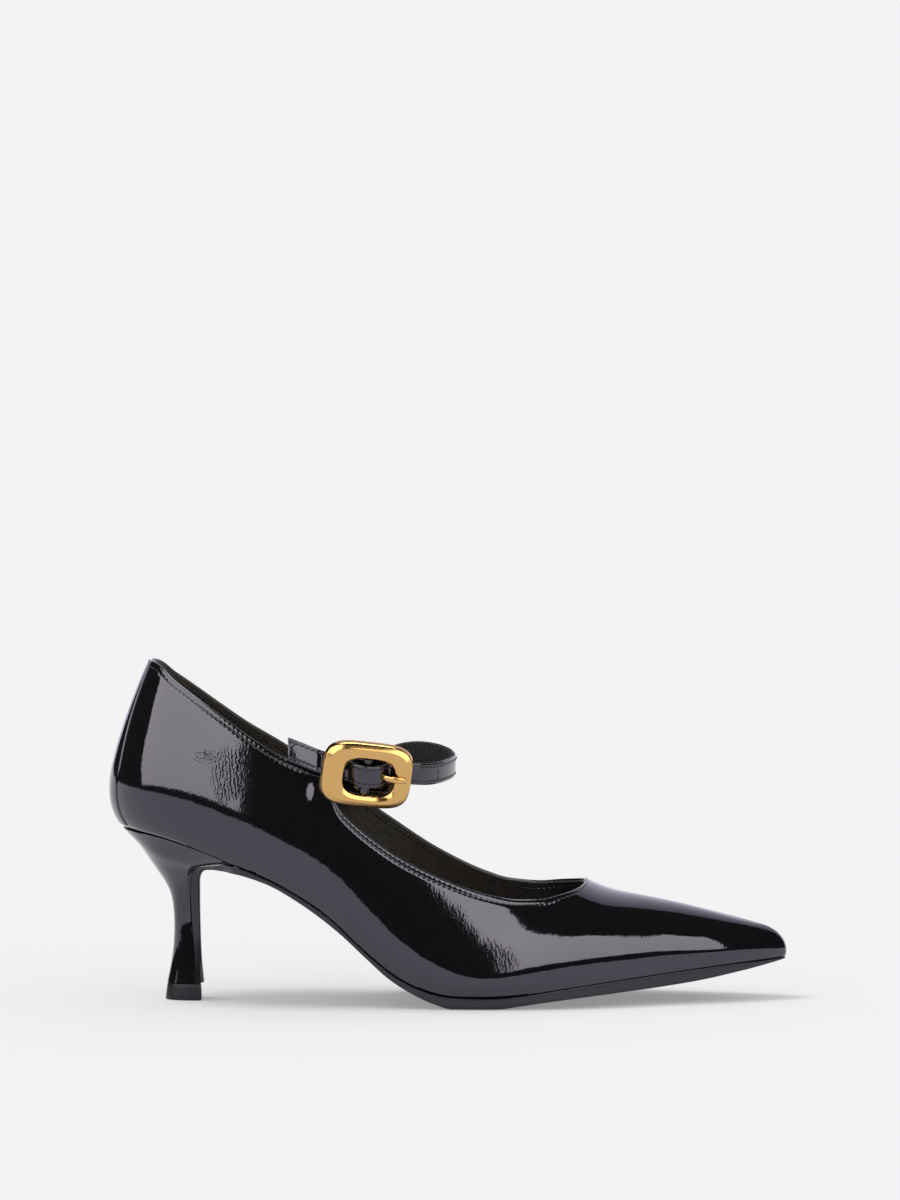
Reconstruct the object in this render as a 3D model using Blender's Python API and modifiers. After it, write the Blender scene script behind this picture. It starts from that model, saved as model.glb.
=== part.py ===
"""Kitten heel pump with an instep strap and buckle: a right shoe made of separate closed solids.

Shapes are worked out in millimetres in the last's own frame: x runs from the back of the heel
to the toe, y from the outer side (minus) to the inner side (plus), and z up from the floor.
The finished meshes are in metres, with the origin on the floor under the middle of the shoe.
"""

import math

import bmesh
import bpy
import numpy as np
from mathutils import Matrix, Vector

MM = 0.001
MERGE_M = 0.00002
GAP = 0.3
BOX_MIDDLE = (120.70, -0.41)
SHARP_ANGLE = math.radians(35.0)

# Driving sizes of the last
WALL = 1.8
FEATHER_BACK = 2.7
FEATHER_TIP = 242.3
HEEL_ROUND_END = 49.8
TOE_ROUND = 16.0
END_ROUND_POWER = 3.0
TIP_SWING = 5.5
SWING_START = 80.0
SWING_POWER = 2.2
HEEL_FAN = 40.0
HEEL_FAN_END = 80.0
TOE_FAN = 14.0
TOE_FAN_START = 190.0
FAN_POWER = 2.5

# Mesh of the upper: ribs a side, steps up each rib, and more ribs where the topline turns
# sharply at the throat and at the ear under the buckle
UPPER_RIBS = 46
UPPER_STEPS = 8
THROAT_RIBS = (170.5, 170.1, 169.2, 167.5, 162.0)
EAR_RIBS = (81.2, 79.4, 77.6, 75.8)
LOWEST_TOPLINE_ANGLE = 0.05
TOPLINE_HALVINGS = 40

# Stations along the foot: half widths at the feather line, how far the wall swells out past it
# and at what height above it, and the power of the arch (lower leans in sooner)
LAST_COLUMNS = (
    "x", "outer", "inner", "outer_belly", "outer_height", "inner_belly", "inner_height", "arch",
)
LAST = (
    (0.0, 24.5, 24.5, 4.8, 17.0, 4.8, 17.0, 1.76),
    (20.0, 25.3, 25.3, 4.6, 19.3, 4.6, 19.3, 1.78),
    (40.0, 26.3, 25.4, 4.6, 20.1, 5.0, 23.0, 1.76),
    (55.0, 27.9, 23.4, 4.6, 18.9, 6.2, 32.0, 1.73),
    (70.0, 28.7, 21.4, 4.4, 19.0, 7.6, 40.0, 1.73),
    (85.0, 30.2, 20.6, 4.0, 19.1, 8.2, 44.0, 1.77),
    (100.0, 32.8, 23.8, 3.6, 15.5, 7.4, 42.0, 1.82),
    (115.0, 35.4, 29.2, 3.1, 11.5, 5.0, 31.0, 1.90),
    (130.0, 37.1, 33.8, 2.6, 7.4, 2.9, 17.0, 1.99),
    (143.0, 37.0, 35.6, 2.1, 7.9, 2.2, 10.0, 2.08),
    (155.0, 35.9, 35.2, 2.0, 10.0, 2.2, 10.2, 2.19),
    (170.0, 32.4, 32.2, 1.9, 11.9, 2.1, 11.6, 2.36),
    (185.0, 26.5, 26.8, 1.5, 14.0, 1.7, 14.0, 2.48),
    (200.0, 20.2, 20.5, 1.5, 11.5, 1.6, 11.9, 2.49),
    (215.0, 15.2, 14.4, 1.8, 8.2, 1.8, 8.2, 2.41),
    (230.0, 9.4, 8.6, 1.2, 8.0, 1.2, 8.0, 2.33),
    (245.0, 3.6, 2.8, 0.5, 6.0, 0.5, 6.0, 2.23),
)

# Feather line, where the upper meets the sole and the heel seat (x, z)
FEATHER = (
    (2.7, 63.7), (17.0, 61.0), (31.8, 56.2), (46.5, 50.1), (56.3, 46.0), (67.0, 40.0),
    (78.0, 32.3), (84.7, 26.0), (94.9, 16.9), (100.1, 12.9), (110.4, 7.4), (118.1, 5.1),
    (128.0, 4.4), (141.2, 4.7), (160.8, 7.1), (175.2, 8.9), (198.3, 11.3), (211.2, 12.6),
    (226.6, 14.1), (242.3, 15.2),
)

# Crest over the middle of the foot (x, z): the vamp's ridge ahead of the throat, and behind it
# the top of the last that the collar leaves open
CREST = (
    (30.0, 147.0), (60.0, 150.0), (80.0, 143.0), (100.0, 120.0), (120.0, 90.0), (140.0, 65.5),
    (155.0, 52.5), (170.5, 43.4), (178.8, 40.0), (189.6, 37.6), (199.3, 35.6), (215.9, 31.5),
    (226.0, 28.3), (235.0, 24.8),
)

# Topline, the folded edge of the collar and throat (x, z), rising past the crest at the throat
OUTER_TOPLINE = (
    (0.0, 123.1), (13.5, 123.1), (21.8, 117.2), (30.5, 111.0), (39.0, 104.8), (47.7, 98.5),
    (56.4, 92.9), (69.3, 87.0), (75.5, 84.7), (80.8, 72.7), (86.0, 67.0), (95.6, 59.3),
    (105.0, 53.3), (119.7, 46.4), (133.4, 41.6), (146.0, 39.3), (153.6, 39.2), (161.0, 40.4),
    (170.5, 43.4), (176.0, 60.0),
)
INNER_TOPLINE = (
    (0.0, 123.1), (13.5, 123.1), (21.8, 117.2), (30.5, 110.8), (39.0, 104.5), (47.7, 98.4),
    (60.7, 90.6), (80.0, 77.4), (99.6, 63.4), (116.8, 52.0), (134.1, 43.6), (142.8, 41.1),
    (153.0, 40.4), (161.0, 41.4), (170.5, 43.4), (176.0, 60.0),
)

# Outsole underside (x, z), level where the forefoot stands
TREAD = (
    (43.0, 48.0), (47.7, 46.9), (56.4, 43.8), (65.0, 38.9), (73.7, 32.9), (82.3, 26.0),
    (90.9, 18.0), (99.6, 10.3), (108.2, 5.0), (115.0, 1.9), (122.0, 0.0), (138.0, 0.0),
    (146.4, 1.0), (153.6, 2.0), (168.0, 3.6), (182.4, 4.9), (196.8, 6.2), (211.2, 8.0),
    (226.6, 10.8), (236.8, 13.0), (242.3, 14.2),
)
SOLE_SPREAD = 0.4
SOLE_TOP_ROUND = 0.4
SOLE_BOTTOM_ROUND = 0.9

# Cross sections of the outsole: first, end and step along waist and forepart, those of the level
# tread, and how many close round the toe from which share of a quarter turn
WAIST_SECTIONS = (44.0, 118.0, 5.6)
LEVEL_SECTIONS = (122.0, 130.0, 138.0)
FOREPART_SECTIONS = (142.0, 226.0, 7.6)
TOE_SECTIONS = 8
TOE_SECTION_START = 0.12
SOLE_TIP_DRAW = 0.15

# Breast flap of the outsole, from its foot up to the waist: the face against the heel, the
# front face, and half the width
FLAP_COLUMNS = ("back_x", "back_z", "front_x", "front_z", "half_width")
FLAP = (
    (29.9, 6.6, 32.6, 6.6, 6.7),
    (29.3, 15.0, 31.8, 15.0, 5.8),
    (28.5, 25.0, 31.4, 25.0, 5.3),
    (27.9, 36.0, 31.2, 36.0, 6.4),
    (27.5, 44.0, 31.2, 43.2, 8.2),
    (28.3, 47.8, 31.8, 46.2, 10.2),
    (30.8, 50.2, 33.2, 47.8, 13.2),
    (35.0, 51.0, 36.2, 48.3, 17.2),
    (39.4, 50.8, 39.8, 48.2, 21.0),
)

# Heel block, from the foot up: points of its back and of its breast, and half the width.
# The seat itself follows the feather line.
HEEL_COLUMNS = ("back_x", "back_z", "breast_x", "breast_z", "half_width")
HEEL = (
    (19.3, 6.3, 29.6, 6.3, 6.6),
    (21.0, 15.3, 29.0, 15.0, 5.7),
    (21.8, 24.9, 28.2, 25.0, 5.2),
    (21.5, 33.0, 27.7, 32.0, 5.9),
    (20.4, 38.6, 27.4, 38.0, 7.0),
    (16.0, 46.4, 27.2, 44.4, 9.6),
    (12.3, 51.7, 28.1, 48.2, 13.0),
    (8.8, 56.6, 30.8, 50.7, 17.2),
    (5.0, 61.3, 35.6, 51.5, 20.8),
)
SEAT_BACK = 3.3
SEAT_FRONT = 43.0
SEAT_INSET = 0.6
HEEL_ROUND_POWER = 3.0
HEEL_STEPS = 13

# Top piece under the heel
TOP_PIECE_HEIGHT = 6.0
TOP_PIECE_COLUMNS = ("z", "back_x", "front_x", "half_width")
TOP_PIECE = (
    (0.0, 18.6, 31.7, 6.9),
    (TOP_PIECE_HEIGHT, 19.4, 31.4, 6.6),
)

# Insole: how far it is drawn in from the feather line, more so at the tip, and the turn its
# cross sections cover from the seat to the toe
INSOLE_THICKNESS = 2.0
INSOLE_INSET = 2.4
INSOLE_TOE_DRAW = 2.6
INSOLE_SECTIONS = 40
INSOLE_TURN = (0.08, 3.04)

# Buckle: its middle, how it is turned with its top leaning out, and its sizes. In its own frame
# u runs along the strap, v up across it, and w outwards from the back of the frame.
BUCKLE_MIDDLE = (91.2, -30.3, 84.6)
BUCKLE_YAW = math.radians(6.0)
BUCKLE_PITCH = math.radians(7.0)
BUCKLE_LEAN = math.radians(11.0)
FRAME_LENGTH = 33.0
FRAME_HEIGHT = 24.4
OPENING_LENGTH = 17.2
OPENING_HEIGHT = 13.0
OPENING_SHIFT = (0.8, -0.4)
FRAME_DEPTH = 3.4
OUTER_SHOULDER = 2.0
INNER_SHOULDER = 1.0
OUTER_BEVEL = 2.3
INNER_BEVEL = 1.4
FRAME_CORNER_POWER = 3.8
OPENING_CORNER_POWER = 3.2
FRAME_STEPS = 48
BAR_SIDES = 12
BAR_RADIUS = 0.8
BAR_W = -0.3
BAR_LENGTH = 16.0

# What loops round the centre bar: the tab of the outer quarter, with the wider layer that backs
# the frame's opening, and the prong
LOOP_CLEARANCE = 0.3
TAB_THICKNESS = 0.8
TAB_WIDTH = 12.2
TAB_TAIL = ((-19.0, -8.0, -8.0), (-12.8, -6.0, -7.4), (-9.8, -3.9, -5.4), (-5.0, -1.4, -3.1))
TAB_LOOP = (255, 500)
TAB_LOOP_V = -0.4
TAB_LOOP_STEPS = 14
TAB_SLOT_WIDTH = 2.7
TAB_SLOT_U = (-3.4, 4.0)
TAB_SLOT_W = (-4.0, 4.0)
TAB_BACKING = ((-9.2, -1.8, -4.5), (-4.0, -1.8, -4.1), (4.0, -1.8, -4.1), (10.0, -1.8, -4.3))
TAB_BACKING_WIDTH = 13.2
PRONG_THICKNESS = 0.9
PRONG_WIDTH = 2.1
PRONG_LOOP = (140, 310)
PRONG_LOOP_STEPS = 10
PRONG_SHANK = (
    (3.0, 0.0, -0.5), (5.0, 0.0, 0.9), (7.0, 0.0, 2.9), (9.2, 0.0, 4.0), (11.6, 0.0, 4.25),
    (14.2, 0.0, 4.2),
)

# Strap: size, how far its free end is cut askew and over what length that fades, the way its
# middle weaves through the buckle (u, v, w), and its route either side of it (x, y, z), both
# with how many degrees the strap's top leans in
STRAP_WIDTH = 8.0
STRAP_THICKNESS = 1.8
STRAP_EDGE_ROUND = 0.4
STRAP_END_SKEW = 0.42
STRAP_END_RUN = 12.0
STRAP_WEAVE = (
    (-16.0, 1.9, -1.8, 0.0),
    (-8.8, 0.4, -2.8, -7.0),
    (-3.9, -0.1, 1.5, -10.0),
    (0.0, -0.2, 3.05, -11.0),
    (4.6, 0.1, 1.6, -10.0),
    (10.2, 0.8, -2.4, -7.0),
    (15.0, 1.5, -1.8, -2.0),
)
STRAP_FREE_END = ((63.4, -28.6, 93.3, 9.0), (70.0, -29.7, 90.8, 7.0))
STRAP_LOOP = (
    (113.4, -22.9, 83.9, 4.0),
    (119.8, -12.6, 84.3, 2.0),
    (122.4, 0.0, 84.8, 0.0),
    (119.4, 11.8, 86.1, 2.0),
    (111.6, 19.6, 87.2, 4.0),
    (103.0, 22.6, 86.0, 6.0),
    (96.0, 22.9, 82.4, 7.0),
    (88.0, 21.7, 77.0, 7.0),
    (80.0, 20.9, 71.8, 7.0),
    (74.5, 20.8, 68.2, 7.0),
)
WEAVE_STEP = 2.2
LOOP_SECTIONS = 30
STRAP_HOLE_U = (3.0, 7.4)
STRAP_HOLE_W = (-3.0, 6.0)
STRAP_HOLE_WIDTH = 2.6


def natural_spline(points):
    """A curve through (x, y) points whose curvature runs on without a break."""
    xs, ys = np.array(points, float).T
    count = len(xs)
    step = np.diff(xs)
    slope = np.diff(ys) / step
    system = np.eye(count)
    right_side = np.zeros(count)
    for i in range(1, count - 1):
        system[i, i - 1 : i + 2] = step[i - 1], 2 * (step[i - 1] + step[i]), step[i]
        right_side[i] = 6 * (slope[i] - slope[i - 1])
    bend = np.linalg.solve(system, right_side)

    def value(x):
        i = np.clip(np.searchsorted(xs, x) - 1, 0, count - 2)
        a = (xs[i + 1] - x) / step[i]
        b = (x - xs[i]) / step[i]
        curve = (a**3 - a) * bend[i] + (b**3 - b) * bend[i + 1]
        return a * ys[i] + b * ys[i + 1] + curve * step[i] ** 2 / 6

    return value


def steady_curve(points):
    """A smooth curve through (x, y) points that never swings past them."""
    xs, ys = np.array(points, float).T
    step = np.diff(xs)
    slope = np.diff(ys) / step
    before, after = slope[:-1], slope[1:]
    same_way = before * after > 0
    mean = np.where(same_way, 2 * before * after / np.where(same_way, before + after, 1), 0)
    tangent = np.concatenate(([slope[0]], mean, [slope[-1]]))

    def value(x):
        i = np.clip(np.searchsorted(xs, x) - 1, 0, len(xs) - 2)
        t = np.clip((x - xs[i]) / step[i], 0, 1)
        rise = (3 - 2 * t) * t * t * (ys[i + 1] - ys[i])
        ease = t * (1 - t) * ((1 - t) * tangent[i] - t * tangent[i + 1]) * step[i]
        return ys[i] + rise + ease

    return value


def column(rows, names, name):
    """One named column of a table."""
    return [row[names.index(name)] for row in rows]


LAST_CURVE = {
    name: natural_spline(list(zip(column(LAST, LAST_COLUMNS, "x"), column(LAST, LAST_COLUMNS, name))))
    for name in LAST_COLUMNS[1:]
}
feather_z = natural_spline(FEATHER)
crest_z = natural_spline(CREST)
tread_z = steady_curve(TREAD)
outer_topline_z = steady_curve(OUTER_TOPLINE)
inner_topline_z = steady_curve(INNER_TOPLINE)


def centre_y(x):
    """Middle line of the last, which swings to the inner side at the toe."""
    along = np.maximum(x - SWING_START, 0) / (FEATHER_TIP - SWING_START)
    return TIP_SWING * along**SWING_POWER


def by_side(side, outer, inner):
    """The outer value where side is -1 and the inner value where it is +1."""
    return np.where(side < 0, outer, inner)


def half_width(x, side, inset=0.0, toe_draw=0.0):
    """Half width of the feather outline at x, drawn in by inset, with its round ends."""
    width = by_side(side, LAST_CURVE["outer"](x), LAST_CURVE["inner"](x)) - inset
    back = FEATHER_BACK + inset
    tip = FEATHER_TIP - toe_draw * inset
    heel_share = np.clip((HEEL_ROUND_END - x) / (HEEL_ROUND_END - back), 0, 1)
    toe_share = np.clip((x - tip + TOE_ROUND) / TOE_ROUND, 0, 1)
    heel_round = np.sqrt(1 - heel_share**END_ROUND_POWER)
    return width * heel_round * np.sqrt(1 - toe_share**END_ROUND_POWER)


def crest_station(x):
    """Where along the crest the rib from feather station x aims: it fans at heel and toe."""
    heel_share = np.clip(1 - x / HEEL_FAN_END, 0, 1)
    toe_share = np.clip((x - TOE_FAN_START) / (FEATHER_TIP - TOE_FAN_START), 0, 1)
    return x + HEEL_FAN * heel_share**FAN_POWER - TOE_FAN * toe_share**FAN_POWER


def rib_point(x, side, angle):
    """Points of the last's surface on the ribs from feather stations x, angle 0 at the feather."""
    foot_y = centre_y(x) + side * half_width(x, side)
    foot_z = feather_z(x)
    crest_x = crest_station(x)
    crest_y = centre_y(crest_x)
    height = (crest_z(crest_x) - foot_z) * np.sin(angle) ** (2 / LAST_CURVE["arch"](x))
    belly = by_side(side, LAST_CURVE["outer_belly"](x), LAST_CURVE["inner_belly"](x))
    level = height / by_side(side, LAST_CURVE["outer_height"](x), LAST_CURVE["inner_height"](x))
    swell = belly * level * np.exp(1 - level) * np.cos(angle)
    reach = np.hypot(crest_x - x, crest_y - foot_y)
    inward = 1 - np.cos(angle) - swell / reach
    return np.stack(
        (x + (crest_x - x) * inward, foot_y + (crest_y - foot_y) * inward, foot_z + height), axis=-1
    )


def topline_angle(x, side):
    """Angle at which each rib meets the topline, or the crest ahead of the throat."""
    low = np.full(np.shape(x), LOWEST_TOPLINE_ANGLE)
    high = np.full(np.shape(x), math.pi / 2)
    for _ in range(TOPLINE_HALVINGS):
        middle = (low + high) / 2
        point = rib_point(x, side, middle)
        edge_z = by_side(side, outer_topline_z(point[..., 0]), inner_topline_z(point[..., 0]))
        above = point[..., 2] > edge_z
        high = np.where(above, middle, high)
        low = np.where(above, low, middle)
    return high


def feather_stations(count, extra):
    """Stations from the toe tip to the back of the heel, closer at the round ends."""
    turn = np.linspace(0, math.pi, count + 1)
    x = FEATHER_TIP + (FEATHER_BACK - FEATHER_TIP) * (1 - np.cos(turn)) / 2
    return np.sort(np.concatenate((x, extra)))[::-1]


def metres(points):
    """Points of the last's frame in metres, about the part's origin."""
    shift = np.array((*BOX_MIDDLE, 0.0))
    return (np.asarray(points, float) - shift) * MM


def add_object(name, mesh_builder, colour, roughness, metallic=0.0):
    """A named object with its own material, from a bmesh, in the shoe's collection."""
    mesh = bpy.data.meshes.new(name)
    mesh_builder.to_mesh(mesh)
    mesh_builder.free()
    material = bpy.data.materials.new(name)
    material.use_nodes = True
    shader = material.node_tree.nodes["Principled BSDF"]
    shader.inputs["Base Color"].default_value = (*colour, 1.0)
    shader.inputs["Roughness"].default_value = roughness
    shader.inputs["Metallic"].default_value = metallic
    mesh.materials.append(material)
    mesh.shade_smooth()
    mesh.set_sharp_from_angle(angle=SHARP_ANGLE)
    made = bpy.data.objects.new(name, mesh)
    bpy.data.collections["kitten_heel_pump"].objects.link(made)
    return made


def add_cutter(name, mesh_builder):
    """A hidden cutter in its own collection."""
    mesh = bpy.data.meshes.new(name)
    mesh_builder.to_mesh(mesh)
    mesh_builder.free()
    made = bpy.data.objects.new(name, mesh)
    made.hide_render = True
    made.display_type = "WIRE"
    bpy.data.collections["cutters"].objects.link(made)
    return made


def mapped_grid(columns, rows, place):
    """A grid of faces whose vertices go where place(column, row) says, with doubles merged."""
    builder = bmesh.new()
    bmesh.ops.create_grid(builder, x_segments=columns, y_segments=rows, size=1.0)
    spot = np.array([vertex.co for vertex in builder.verts])
    column_index = np.rint((spot[:, 0] + 1) / 2 * columns).astype(int)
    row_index = np.rint((spot[:, 1] + 1) / 2 * rows).astype(int)
    for vertex, point in zip(builder.verts, metres(place(column_index, row_index))):
        vertex.co = point
    bmesh.ops.remove_doubles(builder, verts=builder.verts, dist=MERGE_M)
    return builder


def two_sided(near, far):
    """A closed solid between two matching grids of points, joined along their borders."""
    near, far = np.asarray(near, float), np.asarray(far, float)
    rows, columns = near.shape[:2]
    builder = bmesh.new()
    near_vertex, far_vertex = (
        [[builder.verts.new(point) for point in row] for row in metres(grid)] for grid in (near, far)
    )
    for i in range(rows - 1):
        for j in range(columns - 1):
            for side in (near_vertex, far_vertex):
                builder.faces.new((side[i][j], side[i][j + 1], side[i + 1][j + 1], side[i + 1][j]))
    row_border = [((0, j), (0, j + 1)) for j in range(columns - 1)]
    row_border += [((rows - 1, j), (rows - 1, j + 1)) for j in range(columns - 1)]
    column_border = [((i, 0), (i + 1, 0)) for i in range(rows - 1)]
    column_border += [((i, columns - 1), (i + 1, columns - 1)) for i in range(rows - 1)]
    for (i, j), (k, m) in row_border + column_border:
        builder.faces.new((near_vertex[i][j], near_vertex[k][m], far_vertex[k][m], far_vertex[i][j]))
    bmesh.ops.remove_doubles(builder, verts=builder.verts, dist=MERGE_M)
    bmesh.ops.recalc_face_normals(builder, faces=builder.faces)
    if builder.calc_volume(signed=True) < 0:
        bmesh.ops.reverse_faces(builder, faces=builder.faces)
    return builder


def make_upper():
    """The lasted shell: ribs all round from the feather line to the topline or the crest."""
    stations = feather_stations(UPPER_RIBS, THROAT_RIBS + EAR_RIBS)
    per_side = len(stations) - 1

    def place(column_index, row_index):
        from_tip = np.minimum(column_index, 2 * per_side - column_index)
        side = np.where(column_index <= per_side, -1, 1)
        x = stations[from_tip]
        return rib_point(x, side, topline_angle(x, side) * row_index / UPPER_STEPS)

    builder = mapped_grid(2 * per_side, UPPER_STEPS, place)
    bmesh.ops.recalc_face_normals(builder, faces=builder.faces)
    upper = add_object("upper", builder, (0.006, 0.006, 0.007), 0.12)
    wall = upper.modifiers.new("wall", "SOLIDIFY")
    wall.thickness = WALL * MM
    wall.offset = -1.0
    wall.use_even_offset = True
    return upper


def sole_section(top, bottom, outer_y, inner_y):
    """Four points down each edge of the sole, its corners eased, for the outer and inner edge."""
    top, bottom = np.array(top, float), np.array(bottom, float)
    depth = np.linalg.norm(top - bottom)
    narrow = abs(inner_y - outer_y) / 4
    steps = (
        (0.0, min(SOLE_TOP_ROUND, narrow)),
        (SOLE_TOP_ROUND / depth, 0.0),
        (1 - SOLE_BOTTOM_ROUND / depth, 0.0),
        (1.0, min(SOLE_BOTTOM_ROUND, narrow)),
    )
    edges = []
    for edge_y, inward in ((outer_y, 1), (inner_y, -1)):
        edge = []
        for share, inset in steps:
            x, z = top + (bottom - top) * share
            edge.append((x, edge_y + inward * inset, z))
        edges.append(edge)
    return edges


def make_outsole():
    """Forepart and waist under the feather line, running on down the breast as a flap."""
    sections = []
    for row in FLAP:
        flap = dict(zip(FLAP_COLUMNS, row))
        back = (flap["back_x"], flap["back_z"])
        front = (flap["front_x"], flap["front_z"])
        sections.append(sole_section(back, front, -flap["half_width"], flap["half_width"]))
    waist, forepart = np.arange(*WAIST_SECTIONS), np.arange(*FOREPART_SECTIONS)
    turn = np.linspace(TOE_SECTION_START, 1, TOE_SECTIONS) * math.pi / 2
    toe = FEATHER_TIP - SOLE_TIP_DRAW - TOE_ROUND * (1 - np.sin(turn))
    for x in np.concatenate((waist, LEVEL_SECTIONS, forepart, toe)):
        outer_y = centre_y(x) - half_width(x, -1, -SOLE_SPREAD)
        inner_y = centre_y(x) + half_width(x, 1, -SOLE_SPREAD)
        top = (x, feather_z(x) - GAP)
        sections.append(sole_section(top, (x, tread_z(x)), outer_y, inner_y))
    near = [section[0] for section in sections]
    far = [section[1] for section in sections]
    return add_object("outsole", two_sided(near, far), (0.05, 0.05, 0.052), 0.55)


def make_insole():
    """A board with its sock inside the bottom of the upper, from seat to toe."""
    back = FEATHER_BACK + INSOLE_INSET
    tip = FEATHER_TIP - INSOLE_TOE_DRAW * INSOLE_INSET
    turn = np.linspace(*INSOLE_TURN, INSOLE_SECTIONS)
    stations = back + (tip - back) * (1 - np.cos(turn)) / 2
    near, far = [], []
    for x in stations:
        for side, edge in ((-1, near), (1, far)):
            y = centre_y(x) + side * half_width(x, side, INSOLE_INSET, INSOLE_TOE_DRAW)
            edge.append([(x, y, feather_z(x) + rise) for rise in (0.0, INSOLE_THICKNESS)])
    return add_object("insole", two_sided(near, far), (0.02, 0.017, 0.014), 0.6)


def heel_shares():
    """Shares of the way from breast to back, closer where the heel turns round the back."""
    return np.sin(np.linspace(0, math.pi / 2, HEEL_STEPS))


def make_heel():
    """The curved block: level rings in the stem that tilt up to the seat's own slope."""
    near, far = [], []
    shares = heel_shares()
    for row in HEEL:
        ring = dict(zip(HEEL_COLUMNS, row))
        x = ring["breast_x"] + (ring["back_x"] - ring["breast_x"]) * shares
        z = ring["breast_z"] + (ring["back_z"] - ring["breast_z"]) * shares
        y = ring["half_width"] * np.sqrt(1 - shares**HEEL_ROUND_POWER)
        near.append(np.stack((x, -y, z), axis=-1))
        far.append(np.stack((x, y, z), axis=-1))
    x = SEAT_FRONT + (SEAT_BACK - SEAT_FRONT) * shares
    for side, edge in ((-1, near), (1, far)):
        y = side * half_width(x, side, SEAT_INSET)
        edge.append(np.stack((x, y, feather_z(x) - GAP), axis=-1))
    return add_object("heel", two_sided(near, far), (0.006, 0.006, 0.007), 0.15)


def make_top_piece():
    """The rubber cap, a little wider at the floor, under heel block and flap."""
    near, far = [], []
    shares = heel_shares()
    for row in TOP_PIECE:
        ring = dict(zip(TOP_PIECE_COLUMNS, row))
        x = ring["front_x"] + (ring["back_x"] - ring["front_x"]) * shares
        y = ring["half_width"] * np.sqrt(1 - shares**HEEL_ROUND_POWER)
        z = np.full(len(shares), ring["z"])
        near.append(np.stack((x, -y, z), axis=-1))
        far.append(np.stack((x, y, z), axis=-1))
    return add_object("top_piece", two_sided(near, far), (0.05, 0.05, 0.052), 0.6)


def buckle_point(u, v, w):
    """A point of the buckle's own frame, in the last's frame."""
    along = Vector((math.cos(BUCKLE_YAW), math.sin(BUCKLE_YAW), 0.0)) * math.cos(BUCKLE_PITCH)
    along.z = -math.sin(BUCKLE_PITCH)
    level = Vector((math.sin(BUCKLE_YAW), -math.cos(BUCKLE_YAW), 0.0))
    upright = level.cross(along)
    up = upright * math.cos(BUCKLE_LEAN) + level * math.sin(BUCKLE_LEAN)
    outward = level * math.cos(BUCKLE_LEAN) - upright * math.sin(BUCKLE_LEAN)
    return Vector(BUCKLE_MIDDLE) + along * u + up * v + outward * w


def corner_curve(turn, length, height, power):
    """Points of a rounded oblong: an ellipse whose corners a higher power fills out."""
    cosine, sine = np.cos(turn), np.sin(turn)
    u = np.sign(cosine) * np.abs(cosine) ** (2 / power) * length / 2
    v = np.sign(sine) * np.abs(sine) ** (2 / power) * height / 2
    return u, v


def round_bar(start, end, radius, sides):
    """A capped cylinder between two points of the last's frame."""
    start, end = Vector(metres(start)), Vector(metres(end))
    axis = end - start
    builder = bmesh.new()
    turn = Vector((0.0, 0.0, 1.0)).rotation_difference(axis).to_matrix().to_4x4()
    bmesh.ops.create_cone(
        builder,
        cap_ends=True,
        segments=sides,
        radius1=radius * MM,
        radius2=radius * MM,
        depth=axis.length,
        matrix=Matrix.Translation((start + end) / 2) @ turn,
    )
    return builder


def slot_cutter(name, u_span, width, w_span):
    """A box cutter in the buckle's own frame, its width across the strap."""
    near = [[buckle_point(u, -width / 2, w) for w in w_span] for u in u_span]
    far = [[buckle_point(u, width / 2, w) for w in w_span] for u in u_span]
    return add_cutter(name, two_sided(near, far))


def add_boolean(target, cutter, operation):
    """Cut or join one object with another."""
    change = target.modifiers.new(cutter.name, "BOOLEAN")
    change.object = cutter
    change.operation = operation
    change.solver = "EXACT"


def make_buckle_frame():
    """A cast frame with a flat front, bevelled outside and inside, and its centre bar."""
    profile = (
        (True, 0.0, 0.0),
        (True, 0.0, OUTER_SHOULDER),
        (True, OUTER_BEVEL, FRAME_DEPTH),
        (False, INNER_BEVEL, FRAME_DEPTH),
        (False, 0.0, INNER_SHOULDER),
        (False, 0.0, 0.0),
    )

    def place(column_index, row_index):
        points = []
        for turn, step in zip(2 * math.pi * column_index / FRAME_STEPS, row_index % len(profile)):
            outside, bevel, w = profile[step]
            if outside:
                length, height = FRAME_LENGTH - 2 * bevel, FRAME_HEIGHT - 2 * bevel
                u, v = corner_curve(turn, length, height, FRAME_CORNER_POWER)
            else:
                length, height = OPENING_LENGTH + 2 * bevel, OPENING_HEIGHT + 2 * bevel
                u, v = corner_curve(turn, length, height, OPENING_CORNER_POWER)
                u, v = u + OPENING_SHIFT[0], v + OPENING_SHIFT[1]
            points.append(buckle_point(u, v, w))
        return points

    builder = mapped_grid(FRAME_STEPS, len(profile), place)
    bmesh.ops.recalc_face_normals(builder, faces=builder.faces)
    frame = add_object("buckle_frame", builder, (0.60, 0.37, 0.11), 0.25, 1.0)
    ends = [buckle_point(0.0, share * BAR_LENGTH, BAR_W) for share in (-0.5, 0.5)]
    bar = add_cutter("centre_bar", round_bar(*ends, BAR_RADIUS, BAR_SIDES))
    add_boolean(frame, bar, "UNION")
    return frame


def loop_route(radius, angles, steps, v=0.0):
    """Points (u, v, w) round the centre bar between two angles in degrees."""
    turn = np.radians(np.linspace(*angles, steps))
    return [(radius * math.cos(a), v, BAR_W + radius * math.sin(a)) for a in turn]


def bent_strip(route, width, thickness):
    """A flat strip that follows a route in the buckle's frame, bending about v."""
    route = np.array(route, float)
    run = np.gradient(route[:, 0])
    rise = np.gradient(route[:, 2])
    slope = np.hypot(run, rise)
    faces = []
    for side in (0.5, -0.5):
        u = route[:, 0] - side * thickness * rise / slope
        w = route[:, 2] + side * thickness * run / slope
        edges = [route[:, 1] - width / 2, route[:, 1] + width / 2]
        faces.append([[buckle_point(a, v, c) for v in pair] for a, pair, c in zip(u, zip(*edges), w)])
    return two_sided(*faces)


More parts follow.
